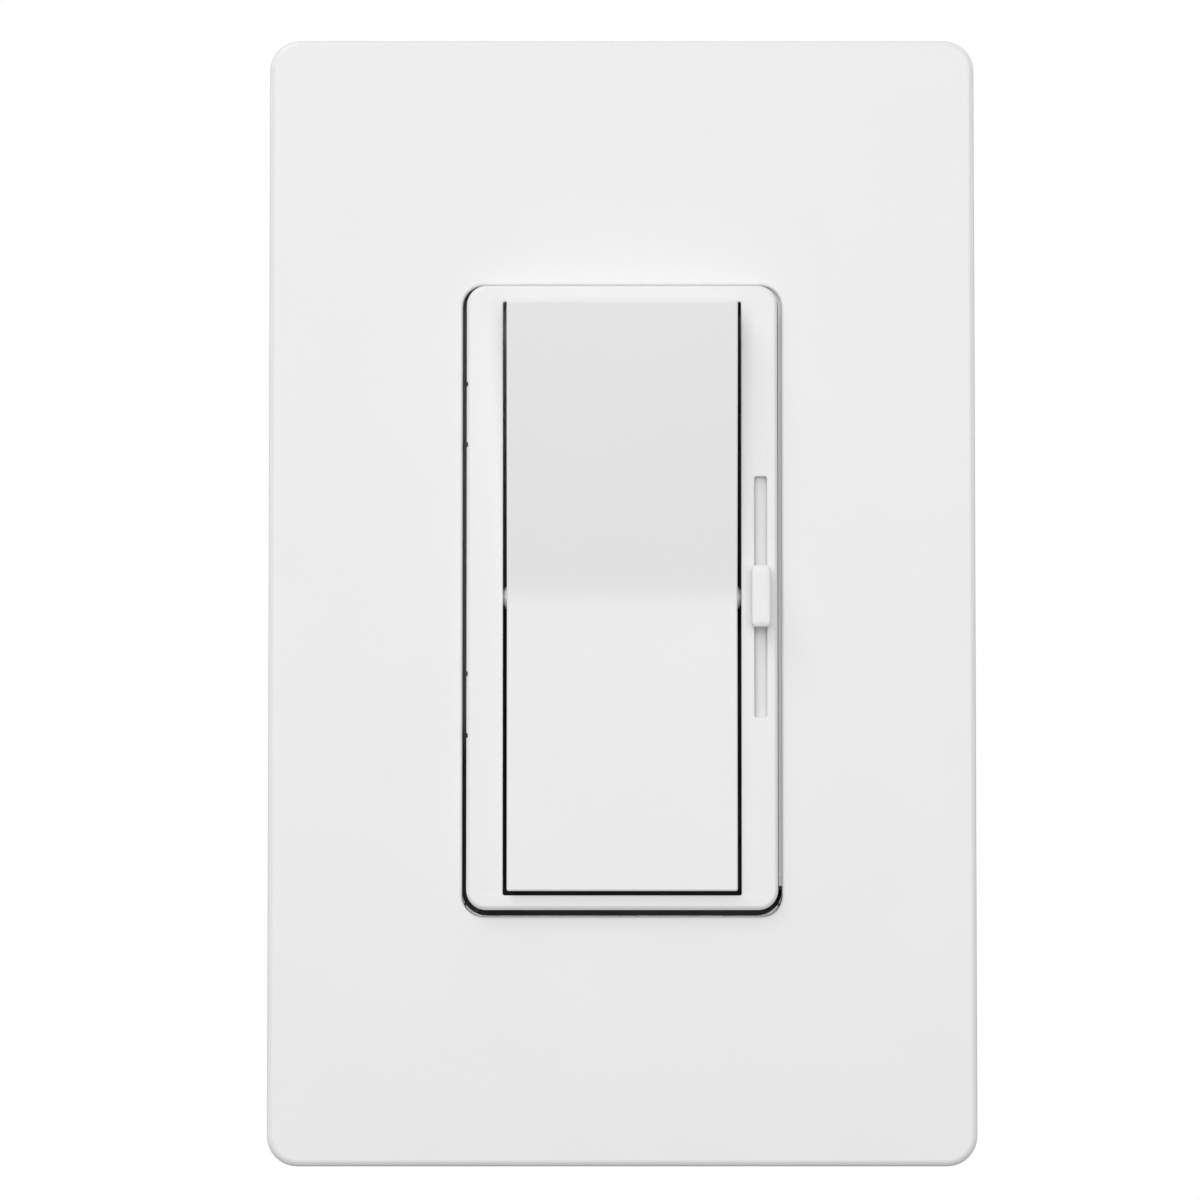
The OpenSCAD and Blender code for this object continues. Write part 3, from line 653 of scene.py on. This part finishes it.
def plated(name, colour, roughness, metallic=1.0):
    """Plated or painted screw metal, slightly uneven, with faint turning marks."""
    finish = Finish(name, colour, roughness, metallic)
    finish.tint(finish.noise(2.5 * MM, 2.0), 0.1)
    finish.gloss(finish.noise(0.5 * MM), 0.05)
    finish.relief(finish.noise(0.12 * MM, 2.0), 0.0012 * MM)
    return finish


def zinc_steel():
    return plated("zinc_steel", (0.66, 0.67, 0.69), 0.30)


def spring_steel():
    return plated("spring_steel", (0.45, 0.45, 0.46), 0.28)


def black_screw():
    return plated("black_screw", (0.035, 0.033, 0.032), 0.40, 0.6)


def brass_screw():
    return plated("brass_screw", (0.80, 0.58, 0.22), 0.28)


def green_screw():
    return plated("green_screw", (0.05, 0.30, 0.09), 0.34, 0.7)


def green_board():
    """Glass-fibre board under green solder resist, where the weave just shows."""
    finish = Finish("green_board", (0.02, 0.17, 0.05), 0.3)
    weave = finish.noise(0.35 * MM, 1.0, (6, 1, 1))
    finish.tint(finish.noise(1.2 * MM, 4.0), 0.4)
    finish.relief(weave, 0.008 * MM)
    finish.shader.inputs["Coat Weight"].default_value = 0.3
    return finish


def iron_powder():
    """Painted powder core, with a grainy skin."""
    finish = Finish("iron_powder", (0.62, 0.56, 0.16), 0.55)
    grains = finish.noise(0.18 * MM, 5.0)
    finish.tint(grains, 0.3)
    finish.relief(grains, 0.02 * MM)
    return finish


def copper_wire():
    """Enamelled copper, darker where the enamel is thick."""
    finish = Finish("copper_wire", (0.72, 0.27, 0.11), 0.25, 0.9)
    finish.tint(finish.noise(1.2 * MM, 3.0), 0.35)
    finish.gloss(finish.noise(0.5 * MM), 0.06)
    finish.shader.inputs["Coat Weight"].default_value = 0.5
    return finish


FINISHES = (
    gloss_white, frame_white, zinc_steel, strap_aluminium, fibre, nylon, spring_steel,
    shield_grey, tinned_steel, phenolic, contact_brass, blue_plastic,
    black_plastic, contact_silver, green_board, grey_rubber, iron_powder, copper_wire,
    can_sleeve, resistor_body, diode_glass, housing_black, black_screw, brass_screw,
    green_screw, bezel_gap_shade, paddle_gap,
)
# Finishes that paint shade down the gaps; black_plastic here stands in as painted shade
GAP_SHADE_FINISHES = ("black_plastic", "bezel_gap_shade", "paddle_gap")
finishes = {make_finish.__name__: make_finish().material for make_finish in FINISHES}
slot_of = {part["node"]: part["material_slot"] for part in frame["record"]["subparts"]}


def paint(piece, slot):
    """Gives a piece a finish, and names its slot."""
    piece.data.materials.clear()
    piece.data.materials.append(finishes[slot])


def paint_gap_shade(piece, chosen):
    """Paints shade on the chosen faces down the gaps, judged from each face's middle."""
    for shade_finish in GAP_SHADE_FINISHES:
        piece.data.materials.append(finishes[shade_finish])
    for face in piece.data.polygons:
        if chosen(face.center):
            face.material_index = 1 + GAP_SHADE_FINISHES.index(gap_shade_at(face.center))


def gap_shade_at(point):
    """Which painted shade a point gets: lighter painted shade on the left stretches of the gaps,
    black painted shade on the others.
    """
    if point.x < BEZEL_LEFT:
        return "bezel_gap_shade"
    return "paddle_gap" if point.x < PADDLE_LEFT else "black_plastic"


def shaded(point):
    """Whether a point is on the left or bottom stretch of the gap round the bezel, where shade is
    painted.
    """
    return point.z < (CORNER_DARK if point.x < 0 else RIGHT_DARK)


# ---------- Wallplate ----------


def cover_profile(front, floor):
    """Insets and depths of the rings up the outer wall, then of those down the window's lip."""
    outer = [(SOFT, 0), (0, -SOFT)] + rounding(PLATE_EDGE, front)
    window = rounding(WINDOW_EDGE, front, -1)
    back = front + LIP_T
    lip = [
        (0, front + WHITE_DEPTH), (0, back - LIP_EDGE), (-LIP_EDGE, back),
        (-WINDOW_LIP + LIP_EDGE, back), (-WINDOW_LIP, back - LIP_EDGE), (-WINDOW_LIP, floor),
    ]
    return outer, window + lip


def snap_ribs(inner_x, inner_z, centre_z):
    """Short ribs inside the cover's walls that the adapter's teeth pass."""
    shell = Shell()
    for side in (-1, 1):
        wall = side * inner_x
        span = sorted((wall - side * SNAP_OUT, wall + side * RIB_ROOT))
        for z in SNAP_SIDE_Z:
            shell.add(bar(span, SNAP_Y, (centre_z + z - SNAP_HALF, centre_z + z + SNAP_HALF)))
        wall = centre_z + side * inner_z
        span = sorted((wall - side * SNAP_OUT, wall + side * RIB_ROOT))
        for x in SNAP_END_X:
            shell.add(bar((x - SNAP_HALF, x + SNAP_HALF), SNAP_Y, span))
    return shell


def corner_path(x, z, radius, end):
    """Round a top right corner about its centre, then straight down to an end."""
    turn = [math.radians(90 * (1 - i / CORNER_STEPS)) for i in range(CORNER_STEPS + 1)]
    arc = [(x + radius * math.cos(a), z + radius * math.sin(a)) for a in turn]
    return arc + [(x + radius, end)]


def window_rib(front, centre):
    """A rib on the window's right wall that stands just short of the bezel."""
    half_w, half_h = WINDOW[0] / 2 - WINDOW_R, WINDOW[1] / 2 - WINDOW_R
    bezel_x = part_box("front_bezel")[1].x - BEZEL_R
    inner = corner_path(bezel_x, BEZEL_HALF_H - BEZEL_R, BEZEL_R + RIB_GAP, RIGHT_DARK)
    outer = corner_path(half_w, centre + half_h, WINDOW_R + RIB_ROOT, RIGHT_DARK)
    shell = Shell()
    rings = []
    for y in (front + RIB_DEPTH, front + RIB_DEPTH + RIB_T):
        rings.append(shell.ring([(x, y, z) for x, z in outer + inner[::-1]]))
    shell.bands(rings)
    for ring in rings:
        shell.cap(ring)
    return shell


def build_cover():
    low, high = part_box("wallplate_cover")
    centre = (low.z + high.z) / 2
    front, floor = low.y, low.y + PLATE_T
    outer = rectangle((low.x, high.x), (low.z, high.z), PLATE_R)
    window = centred(*WINDOW, WINDOW_R, 0, centre)
    inner = rectangle(
        (low.x + PLATE_T, high.x - PLATE_T), (low.z + PLATE_T, high.z - PLATE_T), PLATE_INNER_R
    )
    outside, inside = cover_profile(front, floor)
    cavity = [
        (CAVITY_EDGE, floor), (SOFT, floor + SOFT), (0, floor + CAVITY_EDGE), (0, -SOFT), (-SOFT, 0),
    ]
    shell = Shell()
    rings = [shell.ring(outer(*p)) for p in outside]
    rings += [shell.ring(window(*p)) for p in inside]
    rings += [shell.ring(inner(*p)) for p in cavity]
    shell.bands(rings + rings[:1])
    cover = make("cover", shell, "device", "wallplate_cover")
    cut(cover, bar(PRY_X, PRY_Y, (low.z - PAST, low.z + PLATE_T + PAST)))
    inner_w, inner_h = high.x - PLATE_T, (high.z - low.z) / 2 - PLATE_T
    ribs = snap_ribs(inner_w, inner_h, centre)
    ribs.add(window_rib(front, centre))
    join(cover, make("cover_ribs", ribs, None))
    weigh_normals(cover)
    paint(cover, "gloss_white")
    # Painted shade down the window's walls in the gap left of the bezel and below it
    reach, bottom = WINDOW[0] / 2 + NEAR, centre - WINDOW[1] / 2 - NEAR
    paint_gap_shade(cover, lambda p: (
        p.y > front + WHITE_DEPTH and abs(p.x) < reach and p.z > bottom and shaded(p)
    ))


# ---------- Bezel ----------


def clip(x, side):
    """A spring clip with a hook that catches behind the strap."""
    width = (x - CLIP_HALF, x + CLIP_HALF)
    shell = bar(width, CLIP_Y, sorted(side * z for z in CLIP_Z))
    hook = Shell()
    ends = [hook.ring([(end, y * MM, side * z * MM) for y, z in HOOK]) for end in width]
    hook.bands(ends)
    for end in ends:
        hook.cap(end)
    return shell.add(hook)


def blind_pocket(shell, outline, back, depth):
    """A hollow from the back that ends at a depth. It returns the ring at the back."""
    rings = [shell.ring(outline(*p)) for p in ((-SOFT, back), (0, back - SOFT), (0, depth))]
    shell.bands(rings)
    shell.ladder(rings[-1])
    return rings[0]


def wall_notches(wall, front, back):
    """Small notches down the bezel's left wall."""
    depth, height = NOTCH
    notches = Shell()
    for z in NOTCH_Z:
        notches.add(bar((wall - PAST, wall + depth), (front - PAST, back - LIP_H - NEAR),
                        (z - height / 2, z + height / 2), *CRISP))
    return notches


def bezel_shell(low, high):
    """The bezel's frame, with its opening, slot, channel and pockets."""
    front, back = low.y, BEZEL_BACK
    plate_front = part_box("wallplate_cover")[0].y
    shell = Shell()
    outer = rectangle((low.x, high.x), (-BEZEL_HALF_H, BEZEL_HALF_H), BEZEL_R)
    opening = rectangle((-OPENING_HALF_W, OPENING_HALF_W), OPENING_Z, OPENING_R)
    slot = centred(SLOT_W, SLOT_L, SLOT_W * 0.2, SLOT_X)
    channel = centred(2 * CHANNEL_HALF[0], 2 * CHANNEL_HALF[1], CHANNEL_R, SLOT_X)
    outside = rounding(BEZEL_EDGE, front)[::-1] + gap_wall(plate_front, back, -LIP_W)
    inside = rounding(OPENING_EDGE, front, -1) + gap_wall(front, back, LIP_W)
    face_back = (0, front + FACE_T)
    outer_rings = [shell.ring(outer(*p)) for p in outside]
    opening_rings = [shell.ring(opening(*p)) for p in inside]
    slot_rings = [shell.ring(slot(*p)) for p in rounding(SLOT_EDGE, front, -1, 3) + [face_back]]
    slot_rings += [shell.ring(channel(*p)) for p in (face_back, (0, back - SOFT), (-SOFT, back))]
    for rings in (outer_rings, opening_rings, slot_rings):
        shell.bands(rings)
    shell.cap(outer_rings[0], opening_rings[0], slot_rings[0])
    pockets = [
        blind_pocket(shell, rectangle(POCKET_X, z, POCKET_R), back, front + POCKET_ROOF)
        for z in POCKET_Z
    ]
    shell.cap(outer_rings[-1], opening_rings[-1], slot_rings[-1], *pockets)
    return shell


def gap_wall(front, back, lip):
    """Insets and depths down a gap's wall to the lip across its floor."""
    return [(0, front + WHITE_DEPTH), (0, back - LIP_H), (lip, back - LIP_H), (lip, back)]


def build_bezel():
    low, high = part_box("front_bezel")
    plate_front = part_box("wallplate_cover")[0].y
    bezel = make("bezel", bezel_shell(low, high), "device", "front_bezel")
    across = Matrix.Translation((0, PIVOT_Y, 0)) @ Matrix.Rotation(math.radians(-90), 4, "Z")
    cut(bezel, rod(BORE_R, -BORE_HALF, BORE_HALF).move(across))
    cut(bezel, bar(*DIAL_ROOM))
    shaft = rod(SHAFT_R, -SHAFT_HALF, SHAFT_HALF)
    cut(bezel, shaft.move(Matrix.Translation((DIAL_X, 0, DIAL_Z))))
    cut(bezel, wall_notches(low.x, low.y, BEZEL_BACK))
    clips = Shell()
    for x in CLIP_X:
        for side in (-1, 1):
            clips.add(clip(x, side))
    join(bezel, make("bezel_clips", clips, None))
    weigh_normals(bezel)
    paint(bezel, "gloss_white")
    # Painted shade down the gaps round the paddle and round the bezel
    paint_gap_shade(bezel, lambda p: in_gap(p, low.y, plate_front))


def in_gap(point, front, plate_front):
    """Whether a point is down the gap round the paddle or the one round the bezel, where shade is
    painted.
    """
    by_paddle = abs(point.x) < OPENING_HALF_W + NEAR / 2 and abs(point.z) < PADDLE_DARK
    if by_paddle:
        return point.y > front + WHITE_DEPTH
    below_dial = 0 < point.x < DIAL_SIDE and point.z < 0
    return point.y > plate_front + WHITE_DEPTH and (below_dial or shaded(point))


# ---------- Paddle ----------


def bend(z):
    """How far the paddle's face stands out at a height, past its crease."""
    return math.hypot(z, CREASE_SOFT) * math.tan(HALF_TURN)


def lean():
    """The paddle's frame, with its top half out."""
    return Matrix.Translation((0, PIVOT_Y, 0)) @ Matrix.Rotation(HALF_TURN, 4, "X")


def paddle_body():
    """The V-shaped tray: outer skin, rim and hollow."""
    levels = sorted({sign * z * MM for z in RUNGS for sign in (-1, 1)})
    ends = (-PADDLE_BOTTOM, PADDLE_TOP)
    side = (-PADDLE_W / 2, PADDLE_W / 2)
    outer = rectangle(side, ends, PADDLE_R, levels)
    inner = rectangle(
        (side[0] + PADDLE_WALL, side[1] - PADDLE_WALL),
        (ends[0] + PADDLE_SKIN, ends[1] - PADDLE_SKIN), PADDLE_INNER_R, levels,
    )
    soft, fillet = PADDLE_SOFT, PADDLE_FILLET
    outside = [(i, y, 0.0) for i, y in rounding(PADDLE_EDGE, 0)[::-1]]
    outside += [(0, 1 * MM, END_RELIEF), (0, PADDLE_DEPTH - soft, END_RELIEF),
                (soft, PADDLE_DEPTH, END_RELIEF)]
    inside = [(-soft, PADDLE_DEPTH), (0, PADDLE_DEPTH - soft), (0, PADDLE_SKIN + fillet),
              (fillet, PADDLE_SKIN)]
    shell = Shell()
    rings = [shell.ring(outer(*p)) for p in outside] + [shell.ring(inner(*p)) for p in inside]
    shell.bands(rings)
    shell.ladder(rings[0])
    shell.ladder(rings[-1])
    for p in shell.points:
        p.y -= CREASE_Y + bend(p.z)
    return shell


def trunnion(half):
    """The boss, pin and collar at the right end of the pivot, along the Y axis."""
    ear = rod(EAR_R, half - PADDLE_WALL, half - EAR_SHORT)
    root, tip = half - PIN_ROOT, half + PIVOT_OUT
    pin = lathe([(0, root), (PIVOT_R, root), (PIVOT_R, tip - PIN_EDGE),
                 (PIVOT_R - PIN_EDGE, tip), (0, tip)])
    collar = rod(COLLAR_R, half - COLLAR_ROOT, half + COLLAR_T)
    return ear.add(pin).add(collar)


def hub():
    """The round well that holds the toggle spring and plunger."""
    outer, inner = HUB_R
    skin = -CREASE_Y + PADDLE_SKIN
    root, shoulder = skin - HUB_ROOT, HUB_END - HUB_EDGE
    return lathe([(0, root), (outer, root), (outer, shoulder), (outer - HUB_EDGE, HUB_END),
                  (inner + HUB_EDGE, HUB_END), (inner, shoulder), (inner, skin), (0, skin)])


def build_paddle():
    shell = paddle_body()
    half = PADDLE_W / 2
    for z in STIFFENERS:
        y = -CREASE_Y - bend(z * MM)
        shell.add(bar((-half + MM, half - MM), (y + STIFFENER_Y[0], y + STIFFENER_Y[1]),
                      ((z - STIFFENER_HALF) * MM, (z + STIFFENER_HALF) * MM)))
    turn = Matrix.Rotation(math.radians(-90), 4, "Z")
    for flip in (Matrix.Rotation(math.pi, 4, "Z"), Matrix.Identity(4)):
        shell.add(trunnion(half), flip @ turn)
    shell.add(hub(), Matrix.Translation((SWITCH_X, 0, 0)))
    shell.move(lean())
    paddle = make("rocking_paddle", shell, "paddle_body", "paddle")
    weigh_normals(paddle)
    paint(paddle, "gloss_white")


# ---------- Toggle spring ----------


def coil(radius, wire, length, turns):
    """A spring on the Y axis, whose wire ends lie at 0 and at its length."""
    shell = Shell()
    rings = []
    count = turns * SPRING_STEPS
    rise = (length - 2 * wire) / count
    for k in range(count + 1):
        a = math.tau * k / SPRING_STEPS
        out = Vector((math.cos(a), 0, math.sin(a)))
        middle = out * radius + Vector((0, wire + k * rise, 0))
        section = [math.tau * i / WIRE_SIDES for i in range(WIRE_SIDES)]
        rings.append(shell.ring([
            middle + out * wire * math.cos(b) + Vector((0, wire * math.sin(b), 0)) for b in section
        ]))
    shell.bands(rings)
    shell.cap(rings[0])
    shell.cap(rings[-1])
    return shell


def build_spring():
    """The spring stands on the hub's floor."""
    seat = -CREASE_Y + PADDLE_SKIN + SPRING_PLAY
    length = SPRING_TOP - seat
    place = lean() @ Matrix.Translation((SWITCH_X, seat, 0))
    shell = coil(SPRING_R, WIRE_R, length, SPRING_TURNS).move(place)
    spring = make("coil_spring", shell, "paddle_body", "toggle_spring")
    paint(spring, slot_of["toggle_spring"])
    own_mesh(spring)


# ---------- Slider knob ----------


def build_knob():
    low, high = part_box("slider_knob")
    back, edge, crown = KNOB_BACK, KNOB_EDGE, KNOB_CROWN
    outline = rectangle((low.x, high.x), (low.z, high.z), KNOB_R)
    profile = [(KNOB_BACK_EDGE, back), (0, back - KNOB_BACK_EDGE)] + rounding(edge, low.y + crown)
    profile += [(edge + inset, low.y + share * crown) for inset, share in KNOB_FALL]
    shell = Shell()
    rings = [shell.ring(outline(*p)) for p in profile]
    shell.bands(rings)
    shell.ladder(rings[0])
    shell.ladder(rings[-1])
    half_w, half_h = STEM_HALF
    shell.add(bar((SLOT_X - half_w, SLOT_X + half_w), (back - STEM_ROOT, high.y), (-half_h, half_h)))
    knob = make("knob", shell, "slider_body", "slider_knob")
    weigh_normals(knob)
    paint(knob, "gloss_white")


# ---------- Screws ----------


def head_profile(radius, height, neck, back):
    """A pan head in front of Y 0 with a rounded top, and its neck behind it."""
    steps = 6
    profile = [(0, -height)]
    flat = radius * 0.45
    for i in range(steps + 1):
        a = math.radians(90 * i / steps)
        profile.append((flat + (radius - flat) * math.sin(a), -height * (0.35 + 0.65 * math.cos(a))))
    rim = 0.1 * height
    return profile + [(radius, -rim), (radius - rim, 0), (neck, 0), (neck, back), (0, back)]


def screw(name, node, places, length, head, neck, slot, cross=None, start=0.0):
    """Screws at places, each a matrix that takes the head's seat to its place and +Y to its tip."""
    radius, height = head
    neck_r, thread_r = neck
    heads, threads, slots, crosses = Shell(), Shell(), Shell(), Shell()
    reach = (-height - PAST, -height + DRIVE_DEPTH)
    for place in places:
        heads.add(lathe(head_profile(radius, height, neck_r, start + NECK_OVERLAP)), place)
        threads.add(thread(thread_r, start, length), place)
        slots.add(bar((-radius - PAST, radius + PAST), reach, (-slot / 2, slot / 2), *CRISP), place)
        if cross:
            crosses.add(bar((-slot / 2, slot / 2), reach, (-cross, cross), *CRISP), place)
    piece = make(name, heads, "device", node)
    cut(piece, slots)
    if cross:
        cut(piece, crosses)
    join(piece, make(name + "_thread", threads, None))
    weigh_normals(piece)
    paint(piece, slot_of[node])


def turned(x, y, z, angle, axis):
    """The place of a screw that doesn't point along +Y."""
    return Matrix.Translation((x, y, z)) @ Matrix.Rotation(math.radians(angle), 4, axis)


def build_screws():
    for name, node, (height, seat), shape in (
        ("mounting_screws", "device_screws", MOUNTING_PLACE, MOUNTING_SCREW),
        ("frame_screws", "adapter_screws", FRAME_PLACE, FRAME_SCREW),
    ):
        places = [Matrix.Translation((0, seat, side * height)) for side in (-1, 1)]
        screw(name, node, places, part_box(node)[1].y - seat, **shape)
    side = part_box("back_housing")[1].x
    seat = Matrix.Translation((0, TERMINAL_SEAT, 0))
    left = [turned(-side, TERMINAL_Y, TERMINAL_Z, -90, "Z") @ seat]
    right = [turned(side, TERMINAL_Y, s * TERMINAL_Z, 90, "Z") @ seat for s in (-1, 1)]
    for name, node, places in (
        ("dark_terminal_screw", "black_terminal_screw", left),
        ("brass_screws", "brass_terminal_screws", right),
    ):
        screw(name, node, places, TERMINAL_LENGTH, **TERMINAL_SCREW)
    low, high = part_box("ground_screw")
    up = turned(GROUND_X, GROUND_Y, low.z + TERMINAL_SEAT, 90, "X")
    screw("earth_screw", "ground_screw", [up], high.z - low.z - TERMINAL_SEAT, **TERMINAL_SCREW)


# ---------- CAD nodes that stay ----------

# Width of each node's broken edges, in millimetres
BEVELS = {
    "yoke": 0.15, "snap_adapter": 0.15, "back_housing": 0.25, "screw_retainers": 0.06,
    "circuit_board": 0.08, "clamp_plates": 0.12, "terminal_plates": 0.1, "triac": 0.12,
    "pot_shell": 0.08, "switch_base": 0.2, "trim_dial": 0.08, "trim_pot": 0.12,
    "film_capacitor": 0.5, "slider_carriage": 0.12, "housing_screws": 0.08,
    "contact_rocker": 0.08, "insulating_pad": 0.05, "pot_lever": 0.1,
    "controller_chip": 0.05, "dust_shield": 0.05,
}


def soften(node, width):
    """Merges a node's facets and breaks its edges, without changing its own mesh."""
    piece = cad[node]
    weld = piece.modifiers.new("weld", "WELD")
    weld.merge_threshold = 1e-6
    flat = piece.modifiers.new("merge_flats", "DECIMATE")
    flat.decimate_type = "DISSOLVE"
    flat.angle_limit = math.radians(0.5)
    if width:
        bevel = piece.modifiers.new("broken_edges", "BEVEL")
        bevel.width = width * MM
        bevel.segments = 2
        bevel.limit_method = "ANGLE"
        bevel.angle_limit = SHARP
        bevel.use_clamp_overlap = False
    weigh_normals(piece)


def dress_cad():
    """Gives every CAD node that still shows its finish and its edges."""
    for node, piece in cad.items():
        if piece.hide_render:
            continue
        piece.data.materials.clear()
        piece.data.materials.append(finishes[slot_of[node]])
        soften(node, BEVELS.get(node, 0))


# ---------- Studio ----------


def build_camera():
    """The camera stands a little below the plate's middle and looks slightly up at it."""
    low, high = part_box("wallplate_cover")
    face = Vector((0, low.y, (low.z + high.z) / 2))
    back = Vector((0, -math.cos(CAMERA_RISE), math.sin(CAMERA_RISE)))
    up = Vector((0, math.sin(CAMERA_RISE), math.cos(CAMERA_RISE)))
    camera = bpy.data.objects.new("camera", bpy.data.cameras.new("camera"))
    aside = Vector((CAMERA_ASIDE, 0, 0)) + up * CAMERA_ABOVE
    camera.location = face + back * CAMERA_DISTANCE + aside
    camera.rotation_mode = "QUATERNION"
    camera.rotation_quaternion = back.to_track_quat("Z", "Y")
    camera.data.sensor_width = SENSOR
    camera.data.lens = LENS
    camera.data.clip_start = 0.01
    bpy.context.scene.collection.objects.link(camera)
    bpy.context.scene.camera = camera


def area_light(name, place, size, power):
    """A soft box that points at the object's middle and isn't seen itself."""
    light = bpy.data.lights.new(name, "AREA")
    light.shape = "RECTANGLE"
    light.size, light.size_y = size
    light.energy = power
    lamp = bpy.data.objects.new(name, light)
    lamp.location = place
    lamp.rotation_mode = "QUATERNION"
    lamp.rotation_quaternion = Vector(place).to_track_quat("Z", "Y")
    lamp.visible_camera = False
    bpy.context.scene.collection.objects.link(lamp)


def build_world():
    """White behind the object, and a weaker even light from it."""
    world = bpy.data.worlds.new("studio")
    world.use_nodes = True
    nodes, links = world.node_tree.nodes, world.node_tree.links
    sky = nodes["Background"]
    sky.inputs["Color"].default_value = (1, 1, 1, 1)
    path = nodes.new("ShaderNodeLightPath")
    level = nodes.new("ShaderNodeMapRange")
    level.inputs["To Min"].default_value = AMBIENT
    level.inputs["To Max"].default_value = 1.0
    links.new(path.outputs["Is Camera Ray"], level.inputs["Value"])
    links.new(level.outputs["Result"], sky.inputs["Strength"])
    bpy.context.scene.world = world


def build_floor():
    """A pale disc below the object, which throws no light back up at it."""
    steps = 64
    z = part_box("wallplate_cover")[0].z - FLOOR_DROP
    turn = [math.tau * i / steps for i in range(steps)]
    rim = [(FLOOR_R * math.cos(a), FLOOR_R * math.sin(a), z) for a in turn]
    mesh = bpy.data.meshes.new("floor")
    mesh.from_pydata(rim, [], [list(range(steps))])
    floor = bpy.data.objects.new("floor", mesh)
    bpy.context.scene.collection.objects.link(floor)
    floor.visible_diffuse = False
    floor.visible_glossy = False
    paper = Finish("paper", (0.8, 0.8, 0.8), 0.8)
    paper.tint(paper.noise(40 * MM), 0.02)
    paper.shader.inputs["Emission Color"].default_value = (1, 1, 1, 1)
    paper.shader.inputs["Emission Strength"].default_value = 0.25
    mesh.materials.append(paper.material)


def build_studio():
    build_camera()
    build_world()
    build_floor()
    for light in LIGHTS:
        area_light(*light)
    bpy.context.scene.view_settings.view_transform = "Standard"


build_cover()
build_bezel()
build_paddle()
build_spring()
build_knob()
build_screws()
dress_cad()
build_studio()
